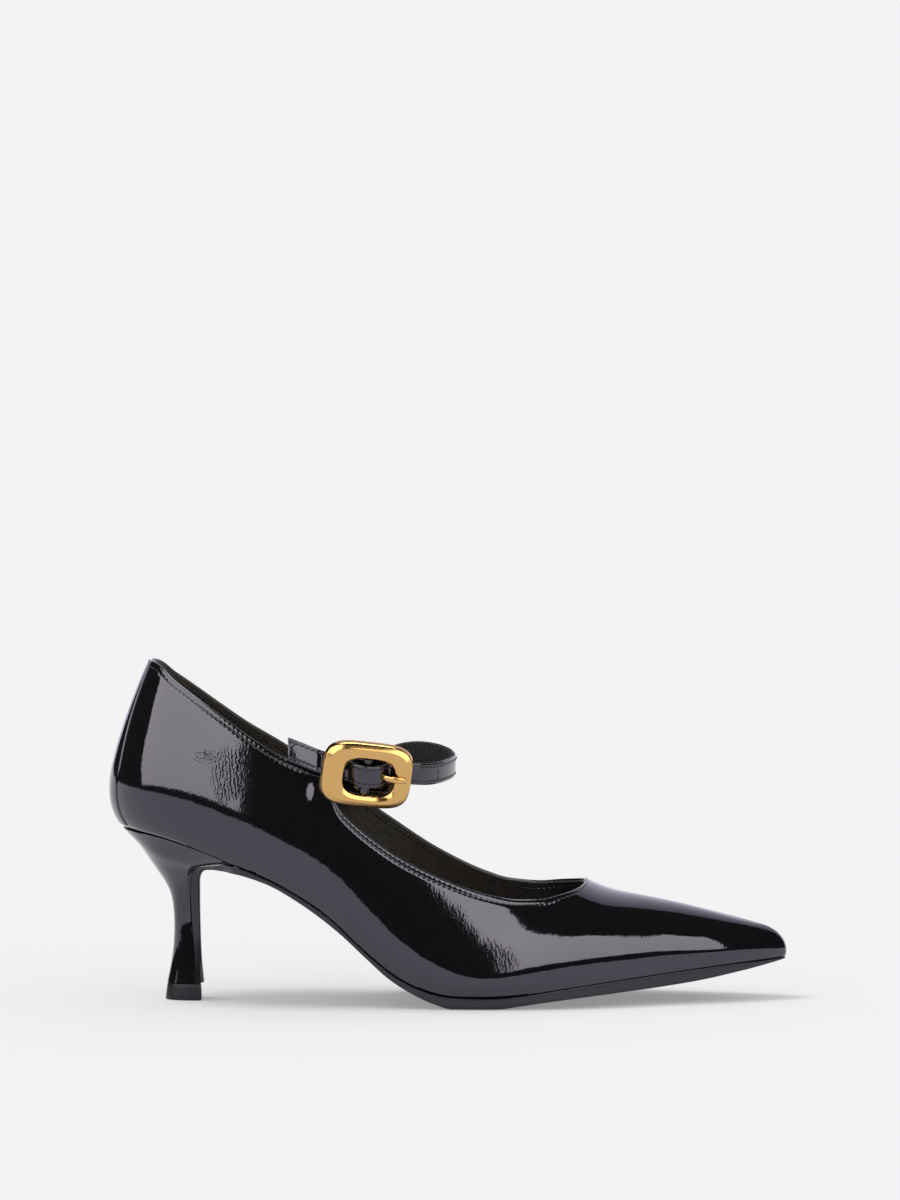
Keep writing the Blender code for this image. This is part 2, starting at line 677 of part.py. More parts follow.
def make_buckle_tab():
    """The short tab from inside the outer quarter: a slotted loop round the bar and a backing layer."""
    radius = BAR_RADIUS + LOOP_CLEARANCE + TAB_THICKNESS / 2
    route = list(TAB_TAIL) + loop_route(radius, TAB_LOOP, TAB_LOOP_STEPS, TAB_LOOP_V)
    builder = bent_strip(route, TAB_WIDTH, TAB_THICKNESS)
    tab = add_object("buckle_tab", builder, (0.012, 0.012, 0.012), 0.5)
    slot = slot_cutter("prong_slot", TAB_SLOT_U, TAB_SLOT_WIDTH, TAB_SLOT_W)
    add_boolean(tab, slot, "DIFFERENCE")
    backing = add_cutter("tab_backing", bent_strip(TAB_BACKING, TAB_BACKING_WIDTH, TAB_THICKNESS))
    add_boolean(tab, backing, "UNION")
    return tab


def make_buckle_prong():
    """The prong: a loop on the bar and a shank through the strap to the frame's far side."""
    radius = BAR_RADIUS + LOOP_CLEARANCE + PRONG_THICKNESS / 2
    route = loop_route(radius, PRONG_LOOP, PRONG_LOOP_STEPS) + list(PRONG_SHANK)
    builder = bent_strip(route, PRONG_WIDTH, PRONG_THICKNESS)
    return add_object("buckle_prong", builder, (0.60, 0.37, 0.11), 0.25, 1.0)


def strap_route():
    """The strap's route as one smooth curve: points, and how far its top leans in."""
    rows = list(STRAP_FREE_END)
    rows += [(*buckle_point(u, v, w), lean) for u, v, w, lean in STRAP_WEAVE]
    rows += list(STRAP_LOOP)
    rows = np.array(rows, float)
    run = np.concatenate(([0.0], np.cumsum(np.linalg.norm(np.diff(rows[:, :3], axis=0), axis=1))))
    curves = [natural_spline(list(zip(run, values))) for values in rows.T]
    weave_end = run[len(STRAP_FREE_END) + len(STRAP_WEAVE) - 1]
    weave, loop = np.arange(0.0, weave_end, WEAVE_STEP), np.linspace(weave_end, run[-1], LOOP_SECTIONS)
    at = np.concatenate((weave, loop))
    return np.stack([curve(at) for curve in curves], axis=-1)


def make_strap():
    """The instep strap from its free end, through the buckle and round to the inner quarter."""
    rows = strap_route()
    route, lean = rows[:, :3], np.radians(rows[:, 3])
    half = STRAP_WIDTH / 2
    thick = STRAP_THICKNESS / 2
    edge = ((-half, thick - STRAP_EDGE_ROUND), (STRAP_EDGE_ROUND - half, thick))
    across = edge + tuple((-offset, depth) for offset, depth in reversed(edge))
    along = np.concatenate(([0.0], np.cumsum(np.linalg.norm(np.diff(route, axis=0), axis=1))))
    skew = STRAP_END_SKEW * np.maximum(1 - along / STRAP_END_RUN, 0)
    outside, inside = [], []
    for point, run, tilt, slant in zip(route, np.gradient(route, axis=0), lean, skew):
        run = Vector(run).normalized()
        level = run.cross((0.0, 0.0, 1.0)).normalized()
        up = Vector((0.0, 0.0, math.cos(tilt))) - level * math.sin(tilt)
        up = (up - run * up.dot(run)).normalized()
        outward = run.cross(up)
        up -= run * slant
        for face, sign in ((outside, 1), (inside, -1)):
            face.append([Vector(point) + up * offset + outward * depth * sign for offset, depth in across])
    strap = add_object("strap", two_sided(outside, inside), (0.008, 0.008, 0.009), 0.2)
    hole = slot_cutter("prong_hole", STRAP_HOLE_U, STRAP_HOLE_WIDTH, STRAP_HOLE_W)
    add_boolean(strap, hole, "DIFFERENCE")
    return strap


def clear_scene():
    """Start from an empty scene with the two collections."""
    for old in list(bpy.data.objects):
        bpy.data.objects.remove(old, do_unlink=True)
    for name in ("kitten_heel_pump", "cutters"):
        made = bpy.data.collections.new(name)
        bpy.context.scene.collection.children.link(made)


def main():
    clear_scene()
    make_upper()
    make_outsole()
    make_insole()
    make_heel()
    make_top_piece()
    make_strap()
    make_buckle_tab()
    make_buckle_frame()
    make_buckle_prong()


main()
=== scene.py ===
"""Kitten heel pump: the visible pieces of a right shoe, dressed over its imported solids.

Shapes are worked out in millimetres in the last's own frame: x runs from the back of the heel
to the toe, y from the outer side (minus) to the inner side (plus), and z up from the floor.
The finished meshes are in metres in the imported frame.
"""

import math

import bmesh
import bpy
import numpy as np
from bpy.props import FloatProperty, FloatVectorProperty, PointerProperty
from mathutils import Matrix, Vector


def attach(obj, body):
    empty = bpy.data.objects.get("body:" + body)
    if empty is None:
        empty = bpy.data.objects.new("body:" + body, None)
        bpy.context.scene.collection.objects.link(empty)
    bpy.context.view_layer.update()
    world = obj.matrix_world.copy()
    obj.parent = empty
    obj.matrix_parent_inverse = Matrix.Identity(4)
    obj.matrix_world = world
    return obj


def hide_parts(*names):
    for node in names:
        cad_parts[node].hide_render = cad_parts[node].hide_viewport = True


bl_info = {
    "name": "Kitten heel pump",
    "version": (1, 0, 0),
    "blender": (4, 5, 0),
    "location": "3D View > Sidebar > Pump",
    "description": "Dresses the solids of a strapped pump in patent, lining, rubber and metal",
    "category": "Object",
}

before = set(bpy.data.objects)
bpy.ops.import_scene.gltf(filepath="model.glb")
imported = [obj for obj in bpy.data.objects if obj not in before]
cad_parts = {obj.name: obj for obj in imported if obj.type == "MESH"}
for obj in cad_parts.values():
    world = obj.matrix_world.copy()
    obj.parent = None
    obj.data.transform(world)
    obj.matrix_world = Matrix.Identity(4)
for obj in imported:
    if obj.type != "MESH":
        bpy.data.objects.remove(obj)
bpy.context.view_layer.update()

# A millimetre in metres, the distance under which points merge, the gap between two solids, the
# middle of the solids' box in the last's frame, and the angle from which an edge shades sharp
MM = 0.001
MERGE_M = 0.00002
GAP = 0.3
BOX_MIDDLE = (120.70, -0.41)
SHARP_ANGLE = math.radians(40.0)

# Driving sizes of the last: ends of its feather line and their rounding, swing of the tip, how the
# ribs fan at heel and toe, how the topline is found on a rib and normals are taken, and the throat
FEATHER_BACK = 2.7
FEATHER_TIP = 242.3
HEEL_ROUND_END = 49.8
TOE_ROUND = 16.0
END_ROUND_POWER = 3.0
TIP_SWING = 5.5
SWING_START = 80.0
SWING_POWER = 2.2
HEEL_FAN = 40.0
HEEL_FAN_END = 80.0
TOE_FAN = 14.0
TOE_FAN_START = 190.0
FAN_POWER = 2.5
LOWEST_TOPLINE_ANGLE = 0.05
LOWEST_NORMAL_ANGLE = 0.03
NORMAL_STEP = 1e-3
TOPLINE_HALVINGS = 40
THROAT = 170.5

# Stations along the foot: half widths at the feather line, how far the wall swells out past it
# and at what height above it, and the power of the arch (lower leans in sooner)
LAST_COLUMNS = (
    "x", "outer", "inner", "outer_belly", "outer_height", "inner_belly", "inner_height", "arch",
)
LAST = (
    (0.0, 24.5, 24.5, 4.8, 17.0, 4.8, 17.0, 1.76),
    (20.0, 25.3, 25.3, 4.6, 19.3, 4.6, 19.3, 1.78),
    (40.0, 26.3, 25.4, 4.6, 20.1, 5.0, 23.0, 1.76),
    (55.0, 27.9, 23.4, 4.6, 18.9, 6.2, 32.0, 1.73),
    (70.0, 28.7, 21.4, 4.4, 19.0, 7.6, 40.0, 1.73),
    (85.0, 30.2, 20.6, 4.0, 19.1, 8.2, 44.0, 1.77),
    (100.0, 32.8, 23.8, 3.6, 15.5, 7.4, 42.0, 1.82),
    (115.0, 35.4, 29.2, 3.1, 11.5, 5.0, 31.0, 1.90),
    (130.0, 37.1, 33.8, 2.6, 7.4, 2.9, 17.0, 1.99),
    (143.0, 37.0, 35.6, 2.1, 7.9, 2.2, 10.0, 2.08),
    (155.0, 35.9, 35.2, 2.0, 10.0, 2.2, 10.2, 2.19),
    (170.0, 32.4, 32.2, 1.9, 11.9, 2.1, 11.6, 2.36),
    (185.0, 26.5, 26.8, 1.5, 14.0, 1.7, 14.0, 2.48),
    (200.0, 20.2, 20.5, 1.5, 11.5, 1.6, 11.9, 2.49),
    (215.0, 15.2, 14.4, 1.8, 8.2, 1.8, 8.2, 2.41),
    (230.0, 9.4, 8.6, 1.2, 8.0, 1.2, 8.0, 2.33),
    (245.0, 3.6, 2.8, 0.5, 6.0, 0.5, 6.0, 2.23),
)

# Feather line, where the upper meets the sole and the heel seat (x, z)
FEATHER = (
    (2.7, 63.7), (17.0, 61.0), (31.8, 56.2), (46.5, 50.1), (56.3, 46.0), (67.0, 40.0),
    (78.0, 32.3), (84.7, 26.0), (94.9, 16.9), (100.1, 12.9), (110.4, 7.4), (118.1, 5.1),
    (128.0, 4.4), (141.2, 4.7), (160.8, 7.1), (175.2, 8.9), (198.3, 11.3), (211.2, 12.6),
    (226.6, 14.1), (242.3, 15.2),
)

# Crest over the middle of the foot (x, z)
CREST = (
    (30.0, 147.0), (60.0, 150.0), (80.0, 143.0), (100.0, 120.0), (120.0, 90.0), (140.0, 65.5),
    (155.0, 52.5), (170.5, 43.4), (178.8, 40.0), (189.6, 37.6), (199.3, 35.6), (215.9, 31.5),
    (226.0, 28.3), (235.0, 24.8),
)

# Topline, the folded edge of the collar and throat (x, z), rising past the crest at the throat
OUTER_TOPLINE = (
    (0.0, 123.1), (13.5, 123.1), (21.8, 117.2), (30.5, 111.0), (39.0, 104.8), (47.7, 98.5),
    (56.4, 92.9), (69.3, 87.0), (75.5, 84.7), (80.8, 72.7), (86.0, 67.0), (95.6, 59.3),
    (105.0, 53.3), (119.7, 46.4), (133.4, 41.6), (146.0, 39.3), (153.6, 39.2), (161.0, 40.4),
    (170.5, 43.4), (176.0, 60.0),
)
INNER_TOPLINE = (
    (0.0, 123.1), (13.5, 123.1), (21.8, 117.2), (30.5, 110.8), (39.0, 104.5), (47.7, 98.4),
    (60.7, 90.6), (80.0, 77.4), (99.6, 63.4), (116.8, 52.0), (134.1, 43.6), (142.8, 41.1),
    (153.0, 40.4), (161.0, 41.4), (170.5, 43.4), (176.0, 60.0),
)

# Outsole underside (x, z), level where the forefoot stands
TREAD = (
    (43.0, 48.0), (47.7, 46.9), (56.4, 43.8), (65.0, 38.9), (73.7, 32.9), (82.3, 26.0),
    (90.9, 18.0), (99.6, 10.3), (108.2, 5.0), (115.0, 1.9), (122.0, 0.0), (138.0, 0.0),
    (146.4, 1.0), (153.6, 2.0), (168.0, 3.6), (182.4, 4.9), (196.8, 6.2), (211.2, 8.0),
    (226.6, 10.8), (236.8, 13.0), (242.3, 14.2),
)

# The sole's spread past the feather line, the easing of its edges (never more than a share of its
# width or depth), its end short of the tip, the spacing of its stations, the waist stations that
# the flap runs into, and the rings of the flap and the toe
SOLE_SPREAD = 0.4
SOLE_TOP_ROUND = 0.4
SOLE_BOTTOM_EASE = 1.7
SOLE_WIDTH_SHARE = 4
SOLE_DEPTH_SHARE = 2.2
SOLE_TIP_DRAW = 0.15
SOLE_STEP = 1.0
SOLE_END_GAP = 0.4
WAIST_START = 44.0
WAIST_END = 62.0
WAIST_STEP = 3.0
FLAP_RINGS = 90
SOLE_TOE_RINGS = 40

# Breast flap of the outsole, from its foot up to the waist: x and z of its back face and of its
# front face, and its half width
FLAP = (
    (29.9, 6.6, 32.6, 6.6, 6.7),
    (29.3, 15.0, 31.8, 15.0, 5.8),
    (28.5, 25.0, 31.4, 25.0, 5.3),
    (27.9, 36.0, 31.2, 36.0, 6.4),
    (27.5, 44.0, 31.2, 43.2, 8.2),
    (28.3, 47.8, 31.8, 46.2, 10.2),
    (30.8, 50.2, 33.2, 47.8, 13.2),
    (35.0, 51.0, 36.2, 48.3, 17.2),
    (39.4, 50.8, 39.8, 48.2, 21.0),
)

# Heel block, from the foot up: x and z of its back and of its breast, its half width, the share
# by which the breast's corners draw in, and how far the breast reaches into the flap
HEEL = (
    (19.3, 6.3, 29.6, 6.3, 6.95, 0.08, 0.15),
    (21.0, 15.3, 29.0, 15.0, 5.95, 0.08, 0.15),
    (21.8, 24.9, 28.2, 25.0, 5.12, 0.08, 0.15),
    (21.5, 33.0, 27.7, 32.0, 5.0, 0.08, 0.15),
    (20.4, 38.6, 27.4, 38.0, 6.7, 0.08, 0.2),
    (16.0, 46.4, 27.2, 44.4, 11.2, 0.06, 0.3),
    (12.3, 51.7, 28.1, 48.2, 15.0, 0.04, 0.5),
    (8.8, 56.6, 30.8, 50.7, 18.6, 0.03, 0.8),
    (5.0, 61.3, 35.6, 51.5, 20.8, 0.02, 1.0),
)
HEEL_ROUND_POWER = 3.0
HEEL_RINGS = 110

# Points of a heel ring: on each half of the breast and on each side, the one at the back, and the
# share of the side over which a breast corner is eased
BREAST_POINTS = 8
SIDE_POINTS = 26
BACK_POINT = 33
CORNER_SHARE = 0.1

# Heel seat: its ends, its inset from the feather line, the share by which its front corners draw
# in, the gap that opens under the upper towards the back, its rounded lip (how far each row draws
# in and rises), and the share of the ring below over which it bends into the flare
SEAT_BACK = 3.3
SEAT_FRONT = 43.0
SEAT_INSET = 0.6
SEAT_EASING = 0.02
SEAT_GAP = 1.0
SEAT_LIP = ((0.07, 0.16), (0.24, 0.31), (0.5, 0.38), (1.0, 0.4), (3.0, 0.3))
NECK_SHARE = 0.45

# Top piece under the heel: z, back x, front x and half width at its foot and its top, the height
# and inset of each ring, eased at both edges, and the share by which its front corners draw in
TOP_PIECE_HEIGHT = 6.0
TOP_PIECE = ((0.0, 18.6, 31.7, 6.9), (TOP_PIECE_HEIGHT, 19.4, 31.4, 6.6))
TOP_PIECE_RINGS = (
    (0.0, 0.5), (0.12, 0.2), (0.5, 0.0), (2.0, 0.0), (4.0, 0.0), (5.6, 0.0), (5.9, 0.12),
    (6.0, 0.4),
)
TOP_PIECE_EASING = 0.08

# Sock inside the shoe: how far it spreads past the insole's outline, its underside above the
# feather line, its turned-up edge, and the turn of its stations, just short of both ends
INSOLE_THICKNESS = 2.0
INSOLE_INSET = 2.4
INSOLE_TOE_DRAW = 2.6
SOCK_SPREAD = 0.5
SOCK_UNDERSIDE = 0.3
SOCK_EDGE_RISE = 0.9
SOCK_EDGE_POWER = 6
SOCK_TURN = (0.03, 3.1)
SOCK_RINGS = 160
SOCK_POINTS = 33

# Buckle, its top leaning out: in its own frame u runs along the strap, v up across it, w outwards
BUCKLE_MIDDLE = (91.2, -30.3, 84.6)
BUCKLE_YAW = math.radians(6.0)
BUCKLE_PITCH = math.radians(7.0)
BUCKLE_LEAN = math.radians(11.0)
FRAME_LENGTH = 33.0
FRAME_HEIGHT = 24.4
OPENING_LENGTH = 17.2
OPENING_HEIGHT = 13.0
OPENING_SHIFT = (0.8, -0.4)
FRAME_DEPTH = 3.4
OUTER_BEVEL = 2.3
FRAME_CORNER_POWER = 3.8
OPENING_CORNER_POWER = 3.2
BAR_RADIUS = 0.8
BAR_W = -0.3
BAR_LENGTH = 16.0

# Buckle frame as cast: how far its sides slope in up to the outer rim, the heights of both rims,
# the opening's growth and drop against the solid's, and the bevel round it, which sits lower
SIDE_SLOPE = 0.5
OUTER_RIM = 2.3
INNER_RIM = 2.7
OPENING_GROWTH = (1.5, 0.6)
OPENING_DROP = 0.3
OPENING_EDGE = 1.15
INNER_SINK = 0.4

# How softly each corner of the frame's section is eased, from the back of its outside over the
# flat front to the back of its opening, and how finely the frame and its bar are divided
FRAME_EASING = (0.4, 0.5, 0.22, 0.22, 0.4, 0.4)
EASING_STEPS = 7
FRAME_RINGS = 360
BAR_SIDES = 24
BAR_RINGS = 9

# What loops round the centre bar: the tab of the outer quarter, with a slot for the prong and a
# backing, and the prong, whose tip rounds off down to a least share. Loops are in degrees
LOOP_CLEARANCE = 0.3
TAB_THICKNESS = 0.8
TAB_WIDTH = 12.2
TAB_TAIL = ((-19.0, -8.0, -8.0), (-12.8, -6.0, -7.4), (-9.8, -3.9, -5.4), (-5.0, -1.4, -3.1))
TAB_LOOP = (255, 500)
TAB_LOOP_V = -0.4
TAB_SLOT_WIDTH = 2.7
TAB_BACKING = ((-9.2, -1.8, -4.5), (-4.0, -1.8, -4.1), (4.0, -1.8, -4.1), (10.0, -1.8, -4.3))
TAB_BACKING_WIDTH = 13.2
TAB_EASING = 0.3
TAB_SLOT_START = -3.4
TAB_LOOP_STEPS = 18
TAB_RINGS = 120
BACKING_RINGS = 40
PRONG_THICKNESS = 0.9
PRONG_WIDTH = 2.1
PRONG_LOOP = (140, 310)
PRONG_SHANK = (
    (3.0, 0.0, -0.5), (5.0, 0.0, 0.9), (7.0, 0.0, 2.9), (9.2, 0.0, 4.0), (11.6, 0.0, 4.25),
    (14.2, 0.0, 4.2),
)
PRONG_TIP = 1.2
PRONG_TIP_LEAST = 0.02
PRONG_LOOP_STEPS = 12
PRONG_RINGS = 90
PRONG_SIDES = 20

# What the opening shows of the tab: growth of its lower strip, and of the backing with its drop
# and one point more at its end
TAB_GROWTH = 0.7
BACKING_GROWTH = 1.4
BACKING_DROP = 0.7
BACKING_END = (11.2, -1.8, -4.5)

# Strap: its section, the slant of its free end and how far that runs, then from that end on its
# route (x, y, z), its weave through the buckle (u, v, w) and its route to the root, and how far
# its top leans in at each of those points, in degrees
STRAP_WIDTH = 8.0
STRAP_THICKNESS = 1.8
STRAP_END_SKEW = 0.42
STRAP_END_RUN = 12.0
STRAP_FREE_END = ((63.4, -28.6, 93.3), (70.0, -29.7, 90.8))
STRAP_WEAVE = (
    (-16.0, 1.9, -1.8), (-8.8, 0.4, -2.8), (-3.9, -0.1, 1.5), (0.0, -0.2, 3.05), (4.6, 0.1, 1.6),
    (10.2, 0.8, -2.4), (15.0, 1.5, -1.8),
)
STRAP_LOOP = (
    (113.4, -22.9, 83.9), (119.8, -12.6, 84.3), (122.4, 0.0, 84.8), (119.4, 11.8, 86.1),
    (111.6, 19.6, 87.2), (103.0, 22.6, 86.0), (96.0, 22.9, 82.4), (88.0, 21.7, 77.0),
    (80.0, 20.9, 71.8), (74.5, 20.8, 68.2),
)
STRAP_LEAN = (9, 8, 8, -6, -10, -11, -10, -8, -8, -8, -6, -3, 0, 3, 6, 7, 7, 7, 7)
STRAP_RINGS = 420

# Strap's section: points round its face, the powers that crowd them at the edges and round those
# off, the rise of its domed face, the back layer's inset, lap and easing, and the rounded end
FACE_POINTS = 72
EDGE_CROWDING = 0.6
EDGE_ROUND_POWER = 9
FACE_DOME = 0.05
BACK_INSET = 0.2
BACK_LAP = 0.02
BACK_EASING = (0.05, 0.05, 0.3, 0.3)
END_SHRINK = 0.86
END_REACH = 0.3

# Strap's stitch rows: inset from its edges, distance of the row across from the free end, station
# of the row across beyond the buckle, and lift of the rows along and across
STRAP_STITCH_INSET = 1.3
STRAP_END_TACK = 1.6
STRAP_TACK = 116.1
ROW_LIFT = 0.05
TACK_LIFT = 0.1
TACK_POINTS = 12

# A stitch: half its length as a share of the pitch, how far it sinks in, how far along the row its
# direction is taken, its facets, and the turn that lays a sphere's poles along it
STITCH_SHARE = 0.4
STITCH_SINK = 0.35
STITCH_FEEL = 0.3
STITCH_FACETS = 6
SPHERE_TURN = Matrix.Rotation(math.pi / 2, 4, "Y")

# Stitch rows draw the patent in: width of the groove on the upper and on the strap, its even share
# and the share that waves from stitch to stitch, and the lip along the topline with its inset,
# width, even and waving share and height against the groove
GROOVE_WIDTH = 0.5
STRAP_GROOVE_WIDTH = 0.35
GROOVE_EVEN = 0.65
GROOVE_WAVE = 0.35
LIP_INSET = 0.7
LIP_WIDTH = 0.6
LIP_EVEN = 0.5
LIP_WAVE = 0.3
LIP_HEIGHT = 0.5

# Upper's mesh: spacing of its columns along the topline and at the toe, rows close under the
# topline, rows from there down to the feather line and how evenly they spread, and how finely the
# topline and each rib are measured
COLUMN_SPACING = 0.5
TOE_COLUMNS = 90
EDGE_ROW = 0.3
EDGE_ROWS = 15
WALL_ROWS = 46
ROW_EVENNESS = 0.55
TOPLINE_SAMPLES = 3000
RIB_SAMPLES = 240

# Folded topline: steps round the fold, how far it runs down inside, the lining's rise beside it
# and the clearance between them, the station where the lining ends in the toe, the mesh rows by
# which its stitches lie lower, and the turn of the wall's foot in under the last (inward, down)
FOLD_STEPS = 8
FOLD_TAIL = 1.6
LINING_RISE = 0.55
LINING_CLEARANCE = 0.03
LINING_TOE_END = 226.0
LINING_STITCH_ROWS = 2
FOOT_TURN = ((2.4, 0.27), (0.5, 0.2))

# Patent's relief in millimetres: size of its crinkle, which stretches upright, size of its slow
# waves and their height against the crinkle, and depth of the whole
CRINKLE = 0.85
CRINKLE_UPRIGHT = (1.0, 1.0, 0.5)
SLOW_WAVE = 9.0
SLOW_WAVE_HEIGHT = 6.0
PATENT_RELIEF = 0.012

# Crushed patches of the patent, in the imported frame: middle, reach, turn of their ridges, and the
# ridges' pitch and depth against the fine crinkle. They are full out to a share of their reach. A
# wave texture of scale 1 repeats after WAVE_PERIOD
CRUSHED = (
    ((-80.6, -25.0, 84.0), (7.6, 14.0, 13.0), math.radians(6.0), 1.25, 3.2),
    ((-87.6, -25.0, 90.6), (7.0, 14.0, 3.6), math.radians(58.0), 1.5, 6.5),
)
CRUSHED_FULL = 0.3
WAVE_PERIOD = math.pi / 10

# Blotches of the grained leathers against their grain
BLOTCH_GRAINS = 3

# Soft swells of the upper: station and height, their reach backwards, forwards and up, and rise
SWELLS = ((73.4, 76.6, 2.4, 15.0, 4.2, 0.62),)

# Back strip: half its width along the wall from the feather line (share 0) to the topline, its
# lift from the middle (share 0) to its rounded edge, the shares of the wall where it ends and its
# rows, the columns of its flat part, and how far round the heel and how finely the wall is measured
BACK_STRIP = ((0.0, 11.5), (0.35, 11.0), (0.7, 7.0), (1.0, 4.2))
STRIP_LIFT = ((0.0, 0.46), (0.9, 0.46), (0.94, 0.42), (0.965, 0.3), (0.985, 0.1), (1.0, -0.1))
STRIP_ENDS = (0.02, 0.995)
STRIP_ROWS = 70
STRIP_FLAT = (0.0, 0.86, 19)
STRIP_REACH = 44.0
STRIP_SAMPLES = 160

# Studio panels in metres: two columns of points from the bottom up, tint, and glow at the bottom
# and the top against the panel's brightness
SOFTBOXES = {
    "left_softbox": (
        ((-0.883, -0.287, 0.123), (-0.925, 0.06, 0.75)),
        ((-0.247, -0.93, 0.158), (-0.0105, -0.93, 0.736)),
    ),
    "right_softbox": (
        ((0.193, -1.0, 0.17), (0.148, -1.0, 0.68)),
        ((0.287, -0.156, 0.06), (0.287, -0.156, 0.262)),
    ),
}
SOFTBOX_TINT = (1.0, 0.955, 0.86)
SOFTBOX_GLOW = (0.84, 1.12)
BACKDROP = (((2.6, 1.6, 0.0), (2.6, 1.6, 3.0)), ((-1.0, 1.6, 0.0), (-1.0, 1.6, 3.0)))
BACKDROP_TINT = (0.76, 0.75, 0.86)
BACKDROP_GLOW = (1.35, 0.5)

# Round light above, and the floor, both in metres
OVERHEAD_PLACE = (0.15, 0.0, 1.5)
OVERHEAD_SIZE = 0.9
FLOOR_RADIUS = 14.0
FLOOR_SIDES = 96

# Share of the floor's own glow, and of the light on it that comes from all round rather than
# from the broad light above, which leans to the right; tints of that light and of the dark that
# gloss mirrors
FLOOR_GLOW = 0.29
FILL = 0.65
FILL_TINT = (1.0, 0.995, 1.01)
GLOSS_DARK = (0.02, 0.02, 0.022)
SKY_LEAN = math.radians(24.0)
SKY_SPREAD = math.radians(24.0)

# Camera: sensor width in millimetres, how far it sees, and the point that it looks at in metres
SENSOR = 36.0
CLIP_END = 60.0
AIM = (0.0005, 0.0004, 0.1444)


def natural_spline(points):
    """A curve through (x, y) points whose curvature runs on without a break."""
    xs, ys = np.array(points, float).T
    count = len(xs)
    step = np.diff(xs)
    slope = np.diff(ys) / step
    system = np.eye(count)
    right_side = np.zeros(count)
    for i in range(1, count - 1):
        system[i, i - 1 : i + 2] = step[i - 1], 2 * (step[i - 1] + step[i]), step[i]
        right_side[i] = 6 * (slope[i] - slope[i - 1])
    bend = np.linalg.solve(system, right_side)

    def value(x):
        i = np.clip(np.searchsorted(xs, x) - 1, 0, count - 2)
        a = (xs[i + 1] - x) / step[i]
        b = (x - xs[i]) / step[i]
        curve = (a**3 - a) * bend[i] + (b**3 - b) * bend[i + 1]
        return a * ys[i] + b * ys[i + 1] + curve * step[i] ** 2 / 6

    return value


def steady_curve(points):
    """A smooth curve through (x, y) points that never swings past them."""
    xs, ys = np.array(points, float).T
    step = np.diff(xs)
    slope = np.diff(ys) / step
    before, after = slope[:-1], slope[1:]
    same_way = before * after > 0
    mean = np.where(same_way, 2 * before * after / np.where(same_way, before + after, 1), 0)
    tangent = np.concatenate(([slope[0]], mean, [slope[-1]]))

    def value(x):
        i = np.clip(np.searchsorted(xs, x) - 1, 0, len(xs) - 2)
        t = np.clip((x - xs[i]) / step[i], 0, 1)
        rise = (3 - 2 * t) * t * t * (ys[i + 1] - ys[i])
        ease = t * (1 - t) * ((1 - t) * tangent[i] - t * tangent[i + 1]) * step[i]
        return ys[i] + rise + ease

    return value


def column(rows, names, name):
    """One named column of a table."""
    return [row[names.index(name)] for row in rows]


LAST_CURVE = {
    name: natural_spline(list(zip(*(column(LAST, LAST_COLUMNS, n) for n in ("x", name)))))
    for name in LAST_COLUMNS[1:]
}
feather_z = natural_spline(FEATHER)
crest_z = natural_spline(CREST)
tread_z = steady_curve(TREAD)
outer_topline_z = steady_curve(OUTER_TOPLINE)
inner_topline_z = steady_curve(INNER_TOPLINE)
strip_half_width = steady_curve(BACK_STRIP)


def centre_y(x):
    """Middle line of the last, which swings to the inner side at the toe."""
    along = np.maximum(x - SWING_START, 0) / (FEATHER_TIP - SWING_START)
    return TIP_SWING * along**SWING_POWER


def by_side(side, outer, inner):
    """The outer value where side is -1 and the inner value where it is +1."""
    return np.where(side < 0, outer, inner)


def half_width(x, side, inset=0.0, toe_draw=0.0):
    """Half width of the feather outline at x, drawn in by inset, with its round ends."""
    width = by_side(side, LAST_CURVE["outer"](x), LAST_CURVE["inner"](x)) - inset
    back = FEATHER_BACK + inset
    tip = FEATHER_TIP - toe_draw * inset
    heel_share = np.clip((HEEL_ROUND_END - x) / (HEEL_ROUND_END - back), 0, 1)
    toe_share = np.clip((x - tip + TOE_ROUND) / TOE_ROUND, 0, 1)
    heel_round = np.sqrt(1 - heel_share**END_ROUND_POWER)
    return width * heel_round * np.sqrt(1 - toe_share**END_ROUND_POWER)


def crest_station(x):
    """Where along the crest the rib from feather station x aims: it fans at heel and toe."""
    heel_share = np.clip(1 - x / HEEL_FAN_END, 0, 1)
    toe_share = np.clip((x - TOE_FAN_START) / (FEATHER_TIP - TOE_FAN_START), 0, 1)
    return x + HEEL_FAN * heel_share**FAN_POWER - TOE_FAN * toe_share**FAN_POWER


def rib_point(x, side, angle):
    """Points of the last's surface on the ribs from feather stations x, angle 0 at the feather."""
    foot_y = centre_y(x) + side * half_width(x, side)
    foot_z = feather_z(x)
    crest_x = crest_station(x)
    crest_y = centre_y(crest_x)
    height = (crest_z(crest_x) - foot_z) * np.sin(angle) ** (2 / LAST_CURVE["arch"](x))
    belly = by_side(side, LAST_CURVE["outer_belly"](x), LAST_CURVE["inner_belly"](x))
    level = height / by_side(side, LAST_CURVE["outer_height"](x), LAST_CURVE["inner_height"](x))
    swell = belly * level * np.exp(1 - level) * np.cos(angle)
    reach = np.hypot(crest_x - x, crest_y - foot_y)
    inward = 1 - np.cos(angle) - swell / reach
    return np.stack(
        (x + (crest_x - x) * inward, foot_y + (crest_y - foot_y) * inward, foot_z + height), axis=-1
    )


def rib_normal(x, side, angle):
    """Outward unit normals of the last's surface."""
    step = NORMAL_STEP
    angle = np.clip(angle, LOWEST_NORMAL_ANGLE, math.pi / 2 - step)
    along = rib_point(x + step, side, angle) - rib_point(x - step, side, angle)
    up = rib_point(x, side, angle + step) - rib_point(x, side, angle - step)
    return unit(np.cross(along, up) * -np.asarray(side)[..., None])


def unit(vectors):
    """Vectors of length one."""
    return vectors / np.maximum(np.linalg.norm(vectors, axis=-1, keepdims=True), 1e-12)


